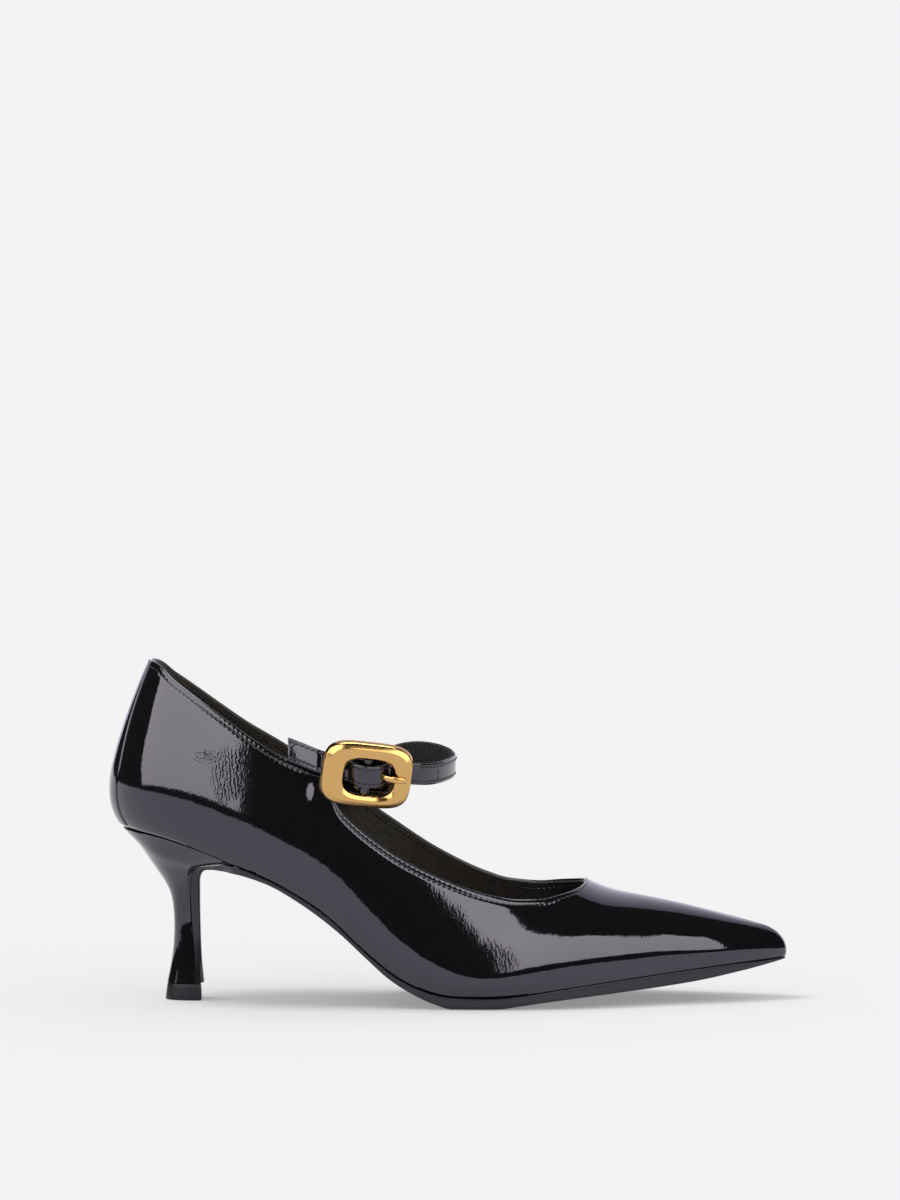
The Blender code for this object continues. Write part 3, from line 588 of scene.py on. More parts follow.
def topline_angle(x, side, drop):
    """Angle at which each rib meets the topline lowered by drop, or the crest ahead of it."""
    low = np.full(np.shape(x), LOWEST_TOPLINE_ANGLE)
    high = np.full(np.shape(x), math.pi / 2)
    for _ in range(TOPLINE_HALVINGS):
        middle = (low + high) / 2
        point = rib_point(x, side, middle)
        edge_z = by_side(side, outer_topline_z(point[..., 0]), inner_topline_z(point[..., 0]))
        above = point[..., 2] > edge_z - drop
        high = np.where(above, middle, high)
        low = np.where(above, low, middle)
    return np.where(x >= THROAT, math.pi / 2, high)


def metres(points):
    """Points of the last's frame in metres, about the part's origin."""
    shift = np.array((*BOX_MIDDLE, 0.0))
    return (np.asarray(points, float) - shift) * MM


def distances(points):
    """Length of the way to each point of a row of points."""
    steps = np.linalg.norm(np.diff(points, axis=0), axis=1)
    return np.concatenate(([0.0], np.cumsum(steps)))


def resampled(rows, along, at, curve=natural_spline):
    """Each column of a table, drawn as a curve over along, at the given places."""
    return np.stack([curve(list(zip(along, values)))(at) for values in rows.T], axis=-1)


def smooth_route(points, count):
    """Points evenly along a smooth curve through the given ones."""
    points = np.array(points, float)
    along = distances(points)
    return resampled(points, along, np.linspace(0, along[-1], count))


def full_turn(count):
    """Angles evenly round a full turn."""
    return np.linspace(0, 2 * math.pi, count + 1)[:-1]


def mapped_grid(points, builder=None):
    """Faces over a grid of points (column, row)."""
    columns, rows = len(points) - 1, len(points[0]) - 1
    builder = builder or bmesh.new()
    made = bmesh.ops.create_grid(builder, x_segments=columns, y_segments=rows, size=1.0)["verts"]
    spot = np.array([vertex.co for vertex in made])
    column_index = np.rint((spot[:, 0] + 1) / 2 * columns).astype(int)
    row_index = np.rint((spot[:, 1] + 1) / 2 * rows).astype(int)
    for vertex, point in zip(made, metres(points)[column_index, row_index]):
        vertex.co = point
    bmesh.ops.remove_doubles(builder, verts=builder.verts[:], dist=MERGE_M)
    return builder


def loft(rings, builder=None):
    """A closed skin over rings of points (ring, point), its two ends filled."""
    rings = np.asarray(rings, float)
    shell = mapped_grid(np.concatenate((rings, rings[:, :1]), axis=1))
    open_edges = [edge for edge in shell.edges if edge.is_boundary]
    bmesh.ops.holes_fill(shell, edges=open_edges, sides=0)
    bmesh.ops.recalc_face_normals(shell, faces=shell.faces[:])
    if shell.calc_volume(signed=True) < 0:
        bmesh.ops.reverse_faces(shell, faces=shell.faces[:])
    if builder is None:
        return shell
    spare = bpy.data.meshes.new("spare")
    shell.to_mesh(spare)
    shell.free()
    builder.from_mesh(spare)
    bpy.data.meshes.remove(spare)
    return builder


def rounded_section(corners, radii, steps=5):
    """A closed outline through corners, each eased over its own radius."""
    corners = np.array(corners, float)
    outline = []
    for i, radius in enumerate(radii):
        corner = corners[i]
        before = corner + unit(corners[i - 1] - corner) * radius
        after = corner + unit(corners[(i + 1) % len(corners)] - corner) * radius
        for t in np.linspace(0, 1, steps):
            outline.append((1 - t) ** 2 * before + 2 * t * (1 - t) * corner + t * t * after)
    return np.array(outline)


def mesh_object(name, builder, material):
    """A named object in the scene, made from a bmesh."""
    mesh = bpy.data.meshes.new(name)
    builder.to_mesh(mesh)
    builder.free()
    mesh.materials.append(material)
    made = bpy.data.objects.new(name, mesh)
    bpy.context.scene.collection.objects.link(made)
    return made


def finish_piece(name, builder, material, slot, *nodes):
    """A named piece from a bmesh that rides on the shoe and stands for the given solids."""
    piece = mesh_object(name, builder, material)
    piece.data.shade_smooth()
    piece.data.set_sharp_from_angle(angle=SHARP_ANGLE)
    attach(piece, "root")
    if nodes:
        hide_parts(*nodes)


def linear(code):
    """An sRGB hex colour as linear values."""
    values = [int(code[i : i + 2], 16) / 255 for i in (0, 2, 4)]
    return tuple(v / 12.92 if v <= 0.04045 else ((v + 0.055) / 1.055) ** 2.4 for v in values)


def add_node(tree, kind, values=None, links=None, **settings):
    """A shader node with its settings, input values and incoming links."""
    made = tree.nodes.new(kind)
    for name, value in settings.items():
        setattr(made, name, value)
    for name, value in (values or {}).items():
        made.inputs[name].default_value = value
    for name, socket in (links or {}).items():
        tree.links.new(socket, made.inputs[name])
    return made


def new_material(name, **values):
    """A named material, its node tree and its shader with the given input values."""
    material = bpy.data.materials.new(name)
    material.use_nodes = True
    tree = material.node_tree
    shader = tree.nodes["Principled BSDF"]
    for key, value in values.items():
        shader.inputs[key.replace("_", " ").title().replace("Ior", "IOR")].default_value = value
    return material, tree, shader


def per_metre(size_mm):
    """Texture scale for features of a size in millimetres on coordinates in metres."""
    return 1000.0 / size_mm


def colour4(colour):
    """A colour with full alpha."""
    return (*colour, 1.0)


def object_place(tree):
    """Coordinates on the piece itself, in metres."""
    return add_node(tree, "ShaderNodeTexCoord").outputs["Object"]


def add_noise(tree, place, size_mm, detail, roughness=0.5):
    """A noise pattern with features of a size in millimetres."""
    values = {"Scale": per_metre(size_mm), "Detail": detail, "Roughness": roughness}
    return add_node(tree, "ShaderNodeTexNoise", values, {"Vector": place}).outputs["Fac"]


def add_tones(tree, shader, pattern, colour, stops):
    """Runs the base colour along a pattern: each stop is a value and a share of the colour."""
    tone = add_node(tree, "ShaderNodeValToRGB", links={"Fac": pattern})
    for element, (value, share) in zip(tone.color_ramp.elements, stops):
        element.position = value
        element.color = colour4([c * share for c in colour])
    tree.links.new(tone.outputs["Color"], shader.inputs["Base Color"])


def add_relief(tree, shader, pattern, depth_mm, sockets=("Normal",)):
    """Bumps the surface by a pattern with a depth in millimetres."""
    values = {"Strength": 1.0, "Distance": depth_mm * MM}
    bump = add_node(tree, "ShaderNodeBump", values, {"Height": pattern})
    for socket in sockets:
        tree.links.new(bump.outputs["Normal"], shader.inputs[socket])


class PumpShape(bpy.types.PropertyGroup):
    """Sizes of the dressing."""

    fold: FloatProperty(
        name="Fold", description="Thickness of the patent folded over the topline",
        default=1.0 * MM, min=0.4 * MM, max=1.4 * MM, precision=5, unit="LENGTH",
    )
    lining: FloatProperty(
        name="Lining", description="Depth of the lining's face inside the patent's",
        default=1.9 * MM, min=1.2 * MM, max=2.6 * MM, precision=5, unit="LENGTH",
    )
    stitch_pitch: FloatProperty(
        name="Stitch pitch", description="Distance from one stitch to the next",
        default=2.0 * MM, min=1.0 * MM, max=4.0 * MM, precision=5, unit="LENGTH",
    )
    stitch_inset: FloatProperty(
        name="Stitch inset", description="Distance of the stitch row from the topline",
        default=1.8 * MM, min=1.0 * MM, max=4.0 * MM, precision=5, unit="LENGTH",
    )
    thread: FloatProperty(
        name="Thread", description="Thickness of the sewing thread",
        default=0.62 * MM, min=0.2 * MM, max=0.8 * MM, precision=5, unit="LENGTH",
    )
    pucker: FloatProperty(
        name="Pucker", description="Depth to which a stitch row draws the patent in",
        default=0.18 * MM, min=0.0, max=0.4 * MM, precision=5, unit="LENGTH",
    )


class PumpFinish(bpy.types.PropertyGroup):
    """Colours of the materials."""

    patent: FloatVectorProperty(
        name="Patent", description="Colour under the patent's gloss",
        default=linear("111112"), subtype="COLOR", min=0.0, max=1.0,
    )
    lining: FloatVectorProperty(
        name="Lining", description="Colour of the lining and sock",
        default=linear("423D38"), subtype="COLOR", min=0.0, max=1.0,
    )
    suede: FloatVectorProperty(
        name="Strap back", description="Colour of the strap's matt back",
        default=linear("1B1A1A"), subtype="COLOR", min=0.0, max=1.0,
    )
    rubber: FloatVectorProperty(
        name="Rubber", description="Colour of the outsole and top piece",
        default=linear("19191A"), subtype="COLOR", min=0.0, max=1.0,
    )
    thread: FloatVectorProperty(
        name="Thread", description="Colour of the sewing thread",
        default=linear("131314"), subtype="COLOR", min=0.0, max=1.0,
    )
    gold: FloatVectorProperty(
        name="Gold", description="Colour of the plated buckle",
        default=linear("D4AA6D"), subtype="COLOR", min=0.0, max=1.0,
    )


class PumpStage(bpy.types.PropertyGroup):
    """Light and camera."""

    floor: FloatVectorProperty(
        name="Floor", description="Colour of the studio floor",
        default=linear("F3F3F3"), subtype="COLOR", min=0.0, max=1.0,
    )
    softbox: FloatProperty(
        name="Softbox", description="Brightness of the two softboxes that the patent mirrors",
        default=3.0, min=0.0, max=20.0,
    )
    backdrop: FloatProperty(
        name="Backdrop", description="Brightness of the backdrop that the crest mirrors",
        default=1.0, min=0.0, max=5.0,
    )
    overhead: FloatProperty(
        name="Overhead",
        description="Brightness of the round light above, mirrored along folded edges",
        default=7.0, min=0.0, max=20.0,
    )
    distance: FloatProperty(
        name="Camera distance", description="From the camera to the middle of its frame",
        default=8.0, min=1.0, max=30.0, unit="LENGTH",
    )
    frame_height: FloatProperty(
        name="Frame height", description="Height that the picture spans at that distance",
        default=0.432, min=0.1, max=2.0, unit="LENGTH",
    )
    elevation: FloatProperty(
        name="Camera elevation", description="How steeply the camera looks down",
        default=math.radians(5.5), min=0.0, max=math.radians(80.0), subtype="ANGLE",
    )


def patent_material():
    """Black crinkle patent: a gloss coat over fine crinkle, slow waves and crushed patches."""
    if "crinkle_patent" in bpy.data.materials:
        return bpy.data.materials["crinkle_patent"]
    material, tree, shader = new_material(
        "crinkle_patent", base_color=colour4(bpy.context.scene.pump_finish.patent), roughness=0.06,
        ior=1.74, specular_tint=(0.78, 0.76, 1.0, 1.0), coat_weight=0.35, coat_roughness=0.03,
    )
    place = object_place(tree)
    upright = add_node(tree, "ShaderNodeMapping", {"Scale": CRINKLE_UPRIGHT}, {"Vector": place})
    crinkle = add_noise(tree, upright.outputs["Vector"], CRINKLE, 1.0)
    wave = add_noise(tree, place, SLOW_WAVE, 1.0, 0.4)
    height = add_node(
        tree, "ShaderNodeMath", {1: SLOW_WAVE_HEIGHT}, {0: wave, 2: crinkle},
        operation="MULTIPLY_ADD",
    )
    for middle, size, turn, pitch, depth in CRUSHED:
        near = add_node(
            tree, "ShaderNodeMapping",
            {
                "Scale": [1 / (r * MM) for r in size],
                "Location": [-c / r for c, r in zip(middle, size)],
            },
            {"Vector": place},
        )
        away = add_node(
            tree, "ShaderNodeVectorMath", links={0: near.outputs["Vector"]}, operation="LENGTH"
        )
        mask = add_node(
            tree, "ShaderNodeMapRange",
            {"From Min": 1.0, "From Max": CRUSHED_FULL, "To Min": 0.0, "To Max": depth},
            {"Value": away.outputs["Value"]}, interpolation_type="SMOOTHSTEP",
        )
        turned = add_node(
            tree, "ShaderNodeMapping", {"Rotation": (0.0, turn, 0.0)}, {"Vector": place}
        )
        ridge = add_node(
            tree, "ShaderNodeTexWave",
            {
                "Scale": per_metre(pitch) * WAVE_PERIOD,
                "Distortion": 7.0, "Detail": 2.0, "Detail Scale": 2.2,
            },
            {"Vector": turned.outputs["Vector"]},
        )
        height = add_node(
            tree, "ShaderNodeMath",
            links={0: ridge.outputs["Fac"], 1: mask.outputs["Result"], 2: height.outputs[0]},
            operation="MULTIPLY_ADD",
        )
    add_relief(tree, shader, height.outputs[0], PATENT_RELIEF, ("Normal", "Coat Normal"))
    return material


def grain_material(name, colour, grain_mm, depth_mm, roughness):
    """Matt grained leather of the lining, the sock or the strap's back: pebbles and blotches."""
    if name in bpy.data.materials:
        return bpy.data.materials[name]
    material, tree, shader = new_material(name, roughness=roughness)
    place = object_place(tree)
    pebble = add_node(
        tree, "ShaderNodeTexVoronoi", {"Scale": per_metre(grain_mm), "Randomness": 1.0},
        {"Vector": place}, feature="SMOOTH_F1",
    )
    blotch = add_noise(tree, place, grain_mm * BLOTCH_GRAINS, 4.0)
    add_tones(tree, shader, blotch, colour, ((0.3, 0.82), (0.7, 1.2)))
    height = add_node(
        tree, "ShaderNodeMath", {1: -1.0}, {0: pebble.outputs["Distance"], 2: blotch},
        operation="MULTIPLY_ADD",
    )
    add_relief(tree, shader, height.outputs[0], depth_mm)
    return material


def rubber_material(name, roughness, ior):
    """Black rubber with a faint grain: glossy where it is inked, matt where it is as moulded."""
    if name in bpy.data.materials:
        return bpy.data.materials[name]
    material, tree, shader = new_material(
        name, roughness=roughness, ior=ior, specular_tint=(0.84, 0.82, 1.0, 1.0)
    )
    speck = add_noise(tree, object_place(tree), 0.7, 3.0, 0.7)
    colour = bpy.context.scene.pump_finish.rubber
    add_tones(tree, shader, speck, colour, ((0.35, 0.8), (0.7, 1.25)))
    add_relief(tree, shader, speck, 0.02)
    return material


def thread_material():
    """Waxed black sewing thread with its twist."""
    if "waxed_thread" in bpy.data.materials:
        return bpy.data.materials["waxed_thread"]
    material, tree, shader = new_material(
        "waxed_thread", base_color=colour4(bpy.context.scene.pump_finish.thread), roughness=0.35,
        coat_weight=0.4, coat_roughness=0.2,
    )
    add_relief(tree, shader, add_noise(tree, object_place(tree), 0.25, 1.0), 0.05)
    return material


def gold_material():
    """Polished gold plate on a cast frame, with faint polishing marks."""
    if "gold_plate" in bpy.data.materials:
        return bpy.data.materials["gold_plate"]
    material, tree, shader = new_material(
        "gold_plate", base_color=colour4(bpy.context.scene.pump_finish.gold), metallic=1.0
    )
    polish = add_noise(tree, object_place(tree), 2.5, 5.0, 0.6)
    rough = add_node(
        tree, "ShaderNodeMapRange", {"To Min": 0.08, "To Max": 0.2}, {"Value": polish}
    )
    tree.links.new(rough.outputs["Result"], shader.inputs["Roughness"])
    add_relief(tree, shader, polish, 0.015)
    return material


def floor_material():
    """Matt white studio floor, softly lit through."""
    floor = bpy.context.scene.pump_stage.floor
    return new_material(
        "studio_floor", base_color=colour4([c * (1 - FLOOR_GLOW) for c in floor]), roughness=1.0,
        specular_ior_level=0.0, emission_color=colour4(floor), emission_strength=FLOOR_GLOW,
    )[0]


def panel_material(name, tint, brightness, glow, heights):
    """Lit cloth of a studio panel, its glow changing from the bottom to the top."""
    material, tree, shader = new_material(
        name + "_cloth", base_color=(0.0, 0.0, 0.0, 1.0), specular_ior_level=0.0,
        emission_color=colour4(tint),
    )
    height = add_node(tree, "ShaderNodeSeparateXYZ", links={"Vector": object_place(tree)})
    strength = add_node(
        tree, "ShaderNodeMapRange",
        {
            "From Min": min(heights), "From Max": max(heights),
            "To Min": brightness * glow[0], "To Max": brightness * glow[1],
        },
        {"Value": height.outputs["Z"]},
    )
    tree.links.new(strength.outputs["Result"], shader.inputs["Emission Strength"])
    return material


def add_stitches(builder, route, normals, shape):
    """Thread stitches, one for each pitch, lying along a route of points."""
    along = distances(route)
    pitch, thick = shape.stitch_pitch / MM, shape.thread / MM
    for at in np.arange(pitch / 2, along[-1] - pitch / 4, pitch):
        before, middle, after = (
            np.array([np.interp(at + step, along, values) for values in route.T])
            for step in (-STITCH_FEEL, 0.0, STITCH_FEEL)
        )
        normal = Vector([np.interp(at, along, values) for values in normals.T]).normalized()
        run = Vector(after - before).normalized()
        across = normal.cross(run).normalized()
        rise = across.cross(run).normalized() * -thick / 2
        centre = Vector(metres(middle)) + normal * (thick / 2 - STITCH_SINK) * MM
        axes = (run * pitch * STITCH_SHARE, across * thick / 2, rise)
        turn = Matrix([axis * MM for axis in axes]).transposed().to_4x4()
        bmesh.ops.create_uvsphere(
            builder, u_segments=STITCH_FACETS, v_segments=STITCH_FACETS, radius=1.0,
            matrix=Matrix.Translation(centre) @ turn @ SPHERE_TURN,
        )


def topline_stations(side, drop):
    """Feather stations from the throat to the back of the heel, evenly spaced on the topline."""
    turn = np.linspace(0, math.pi, TOPLINE_SAMPLES)
    dense = THROAT + (FEATHER_BACK - THROAT) * (1 - np.cos(turn)) / 2
    sides = np.full(dense.shape, side)
    along = distances(rib_point(dense, sides, topline_angle(dense, sides, drop)))
    count = int(along[-1] / COLUMN_SPACING)
    return np.interp(np.linspace(0, along[-1], count + 1), along, dense)


def wall_grid(x, side, drop):
    """Rows of points down each rib at set distances under the topline, with their normals."""
    x, side = x[:, None], side[:, None]
    angle = topline_angle(x, side, drop) * np.linspace(0, 1, RIB_SAMPLES)
    ribs = rib_point(*np.broadcast_arrays(x, side, angle))
    step = np.linalg.norm(np.diff(ribs, axis=1), axis=2)
    under = np.cumsum(step[:, ::-1], axis=1)[:, ::-1]
    under = np.concatenate((under, np.zeros(x.shape)), axis=1)
    close = np.arange(EDGE_ROWS) * EDGE_ROW
    t = np.arange(1, WALL_ROWS + 1) / WALL_ROWS
    spread = t * (ROW_EVENNESS + (1 - ROW_EVENNESS) * t)
    wall = close[-1] + (under[:, :1] - close[-1]) * spread
    depth = np.concatenate((np.tile(close, x.shape), wall), axis=1)[:, ::-1]
    rows = np.stack([np.interp(-d, -u, a) for d, u, a in zip(depth, under, angle)])
    place = np.broadcast_arrays(x, side, rows)
    return rib_point(*place), rib_normal(*place), depth


class UpperDress:
    """The grids of the upper: the collar part with an open topline, and the toe part."""

    def __init__(self, shape):
        self.drop = shape.fold / MM / 2
        inner, outer = (topline_stations(side, self.drop) for side in (1, -1))
        self.x = np.concatenate((inner, outer[::-1][1:]))
        self.side = np.concatenate((np.ones(len(inner)), -np.ones(len(outer) - 1)))
        self.points, self.normals, self.depth = wall_grid(self.x, self.side, self.drop)
        middle = unit(self.normals[0] + self.normals[-1])
        self.normals[0] = self.normals[-1] = middle
        self.edge = self.points[:, -1]
        self.along = distances(self.edge)
        ring = self.edge[:-1]
        run = unit(np.roll(ring, -1, axis=0) - np.roll(ring, 1, axis=0))
        run = np.concatenate((run, run[:1]))
        self.rise = unit(np.cross(self.normals[:, -1], run))
        turn = np.linspace(0, math.pi / 2, TOE_COLUMNS)
        toe = THROAT + (FEATHER_TIP - THROAT) * np.sin(turn)
        self.toe_x = np.concatenate((toe, toe[::-1][1:]))
        self.toe_side = np.concatenate((-np.ones(len(toe)), np.ones(len(toe) - 1)))
        self.toe_points, self.toe_normals, _ = wall_grid(self.toe_x, self.toe_side, self.drop)
        self.toe_normals[0] = self.normals[-1]
        self.toe_normals[-1] = self.normals[0]

    def edge_profile(self, steps):
        """Points beside the topline: each step is how far it rises past it and how deep it lies."""
        inward = -self.normals[:, -1]
        rows = [self.edge + self.rise * up + inward * depth for up, depth in steps]
        return np.stack(rows, axis=1)


def rolled_under(points, normals):
    """Two rows that turn the foot of a wall in under the last."""
    level = unit(normals[:, :1] * (1.0, 1.0, 0.0))
    down = np.array((0.0, 0.0, -1.0))
    rows = [points[:, :1] - level * inward + down * drop for inward, drop in FOOT_TURN]
    return np.concatenate(rows, axis=1)


class PUMP_OT_upper(bpy.types.Operator):
    """Makes the patent shell, its lining, the back strip and the topline stitches"""

    bl_idname = "pump.upper"
    bl_label = "Upper"

    def execute(self, context):
        shape = context.scene.pump_shape
        dress = UpperDress(shape)
        self.make_shell(dress, shape)
        self.make_lining(dress, shape)
        self.make_back_strip(dress)
        self.make_stitches(dress, shape)
        return {"FINISHED"}

    def relief(self, dress, shape):
        """How far the patent stands out of the last: the fold's edge, the stitch row and swells."""
        wave = np.cos(2 * math.pi * dress.along / (shape.stitch_pitch / MM))[:, None]
        groove = np.exp(-(((dress.depth - shape.stitch_inset / MM) / GROOVE_WIDTH) ** 2))
        lip = np.exp(-(((dress.depth - LIP_INSET) / LIP_WIDTH) ** 2)) * (LIP_EVEN + LIP_WAVE * wave)
        groove = groove * (GROOVE_EVEN - GROOVE_WAVE * wave)
        rise = shape.pucker / MM * (LIP_HEIGHT * lip - groove)
        outer = dress.side[:, None] < 0
        along, up = dress.points[..., 0], dress.points[..., 2]
        for x, z, behind, ahead, reach_z, height in SWELLS:
            reach_x = np.where(along < x, behind, ahead)
            away = ((along - x) / reach_x) ** 2 + ((up - z) / reach_z) ** 2
            rise = rise + outer * height * np.exp(-away / 2)
        return rise

    def make_shell(self, dress, shape):
        """The patent shell with its folded topline, turned in at its foot."""
        points = dress.points + dress.normals * self.relief(dress, shape)[..., None]
        round_edge = shape.fold / MM / 2
        turn = np.linspace(0, math.pi, FOLD_STEPS + 1)[1:]
        steps = [(round_edge * math.sin(a), round_edge * (1 - math.cos(a))) for a in turn]
        fold = dress.edge_profile(steps + [(-FOLD_TAIL, 2 * round_edge)])
        foot = rolled_under(dress.points, dress.normals)
        builder = mapped_grid(np.concatenate((foot, points, fold), axis=1))
        foot = rolled_under(dress.toe_points, dress.toe_normals)
        mapped_grid(np.concatenate((foot, dress.toe_points), axis=1), builder)
        finish_piece("upper_patent", builder, patent_material(), "upper", "upper")

    def make_lining(self, dress, shape):
        """The lining, open at the toe's end, with its edge beside the fold."""
        deep = shape.lining / MM
        round_edge = (deep - shape.fold / MM) / 2 - LINING_CLEARANCE
        middle = deep - round_edge
        inside = dress.points - dress.normals * deep
        turn = np.linspace(0, math.pi, FOLD_STEPS + 1)[1:]
        steps = [(LINING_RISE * math.sin(a), middle + round_edge * math.cos(a)) for a in turn]
        edge = dress.edge_profile(steps + [(-FOLD_TAIL, middle - round_edge)])
        builder = mapped_grid(np.concatenate((inside, edge), axis=1)[::-1])
        toe = dress.toe_points - dress.toe_normals * deep
        for side in (-1, 1):
            half = (dress.toe_x < LINING_TOE_END) & (dress.toe_side == side)
            mapped_grid(toe[half][::-1], builder)
        colour = bpy.context.scene.pump_finish.lining
        material = grain_material("grained_lining", colour, 1.1, 0.12, 0.42)
        finish_piece("upper_lining", builder, material, "upper")

    def make_back_strip(self, dress):
        """The strip over the back seam, which stands off the shell."""
        edge, lift = np.array(STRIP_LIFT).T
        half = np.concatenate((np.linspace(*STRIP_FLAT), edge[1:]))
        across = np.concatenate((-half[:0:-1], half))
        lifts = np.interp(np.abs(across), edge, lift)
        turn = np.linspace(0, math.pi / 2, STRIP_SAMPLES)
        near = FEATHER_BACK + STRIP_REACH * (1 - np.cos(turn))
        grid = []
        for t in np.linspace(*STRIP_ENDS, STRIP_ROWS):
            ways = {}
            for side in (-1, 1):
                sides = np.full(near.shape, side)
                angle = topline_angle(near, sides, dress.drop) * t
                ways[side] = distances(rib_point(near, sides, angle)), angle
            row = []
            for a, up in zip(across, lifts):
                side = -1 if a < 0 else 1
                way, angle = ways[side]
                at = abs(a) * strip_half_width(t)
                spot = np.interp(at, way, near), np.array(side), np.interp(at, way, angle)
                row.append(rib_point(*spot) + rib_normal(*spot) * up)
            grid.append(row)
        builder = mapped_grid(np.array(grid).transpose(1, 0, 2)[::-1])
        finish_piece("back_strip", builder, patent_material(), "upper")

    def make_stitches(self, dress, shape):
        """The rows along the topline, outside and on the lining."""
        row = -1 - int(round(shape.stitch_inset / MM / EDGE_ROW))
        outside = bmesh.new()
        add_stitches(outside, dress.points[:, row], dress.normals[:, row], shape)
        finish_piece("topline_stitches", outside, thread_material(), "upper")
        inside = bmesh.new()
        normals = dress.normals[:, row - LINING_STITCH_ROWS]
        route = dress.points[:, row - LINING_STITCH_ROWS] - normals * (shape.lining / MM)
        add_stitches(inside, route, -normals, shape)
        finish_piece("lining_stitches", inside, thread_material(), "upper")


class PUMP_OT_sock(bpy.types.Operator):
    """Makes the grained sock on the insole"""

    bl_idname = "pump.sock"
    bl_label = "Sock"

    def execute(self, context):
        inset = INSOLE_INSET - SOCK_SPREAD
        back = FEATHER_BACK + inset
        tip = FEATHER_TIP - INSOLE_TOE_DRAW * inset
        turn = np.linspace(*SOCK_TURN, SOCK_RINGS)
        across = np.sin(np.linspace(-math.pi / 2, math.pi / 2, SOCK_POINTS))
        rings = []
        for x in back + (tip - back) * (1 - np.cos(turn)) / 2:
            outer, inner = (
                centre_y(x) + side * half_width(x, side, inset, INSOLE_TOE_DRAW) for side in (-1, 1)
            )
            middle, half = (outer + inner) / 2, (inner - outer) / 2
            level = feather_z(x) + INSOLE_THICKNESS
            edge = [SOCK_EDGE_RISE * abs(a) ** SOCK_EDGE_POWER for a in across]
            top = [(x, middle + half * a, level + rise) for a, rise in zip(across, edge)]
            low = feather_z(x) + SOCK_UNDERSIDE
            rings.append(top + [(x, middle + half * a, low) for a in across[::-1]])
        material = grain_material("grained_sock", context.scene.pump_finish.lining, 1.0, 0.08, 0.6)
        finish_piece("sock", loft(rings), material, "insole", "insole")
        return {"FINISHED"}


class PUMP_OT_outsole(bpy.types.Operator):
    """Makes the rubber outsole with its breast flap"""

    bl_idname = "pump.outsole"
    bl_label = "Outsole"

    def execute(self, context):
        rows = [(*faces, -half, half) for *faces, half in FLAP]
        rows += [self.station(x) for x in np.arange(WAIST_START, WAIST_END, WAIST_STEP)]
        rows = np.array(rows)
        along = distances((rows[:, :2] + rows[:, 2:4]) / 2)
        flap = resampled(rows, along, np.linspace(0, along[-1], FLAP_RINGS), steady_curve)
        turn = np.linspace(0, math.pi / 2, SOLE_TOE_RINGS)
        toe = FEATHER_TIP - SOLE_TIP_DRAW - TOE_ROUND * (1 - np.sin(turn))
        waist = np.arange(rows[-1, 0] + SOLE_STEP, toe[0] - SOLE_END_GAP, SOLE_STEP)
        rows = [*flap, *(self.station(x) for x in (*waist, *toe[:-1]))]
        builder = loft([self.ring(*row) for row in rows])
        material = rubber_material("inked_rubber", 0.16, 1.62)
        finish_piece("outsole_rubber", builder, material, "outsole", "outsole")
        return {"FINISHED"}

    def station(self, x):
        """Top and bottom of the sole's edge at a station, and its outer and inner edge."""
        outer, inner = (centre_y(x) + side * half_width(x, side, -SOLE_SPREAD) for side in (-1, 1))
        return x, feather_z(x) - GAP, x, tread_z(x), outer, inner

    def ring(self, top_x, top_z, low_x, low_z, outer, inner):
        """The sole's eased cross section."""
        depth = math.hypot(top_x - low_x, top_z - low_z)
        most = min((inner - outer) / SOLE_WIDTH_SHARE, depth / SOLE_DEPTH_SHARE)
        high, low = min(SOLE_TOP_ROUND, most), min(SOLE_BOTTOM_EASE, most)
        outline = rounded_section(
            ((outer, 0.0), (inner, 0.0), (inner, depth), (outer, depth)), (high, high, low, low), 6
        )
        share = outline[:, 1] / depth
        x, z = top_x + (low_x - top_x) * share, top_z + (low_z - top_z) * share
        return np.stack((x, outline[:, 0], z), axis=-1)


def heel_ring(breast, back, side_y, easing):
    """A closed ring from the breast, whose corners are eased, round the back.

    side_y gives the half widths at the ring's shares.
    """
    share = np.sin(np.linspace(0, math.pi / 2, SIDE_POINTS))
    halves = []
    for side in (1, -1):
        ease = 1 - easing * np.clip(1 - share / CORNER_SHARE, 0, 1) ** 2
        x, z = (start + (end - start) * share for start, end in zip(breast, back))
        edge = np.stack((x, side * side_y(share, side) * ease, z), axis=-1)
        out = np.linspace(0, 1, BREAST_POINTS)[:, None]
        front = out * (edge[0] * (0, 1, 0)) + edge[0] * (1, 0, 1)
        halves.append(np.concatenate((front[:-1], edge)))
    return np.concatenate((halves[0], halves[1][::-1][1:-1]))


def round_back(width):
    """Half widths of a heel ring that rounds off towards the back."""
    return lambda share, side: width * np.sqrt(1 - share**HEEL_ROUND_POWER)


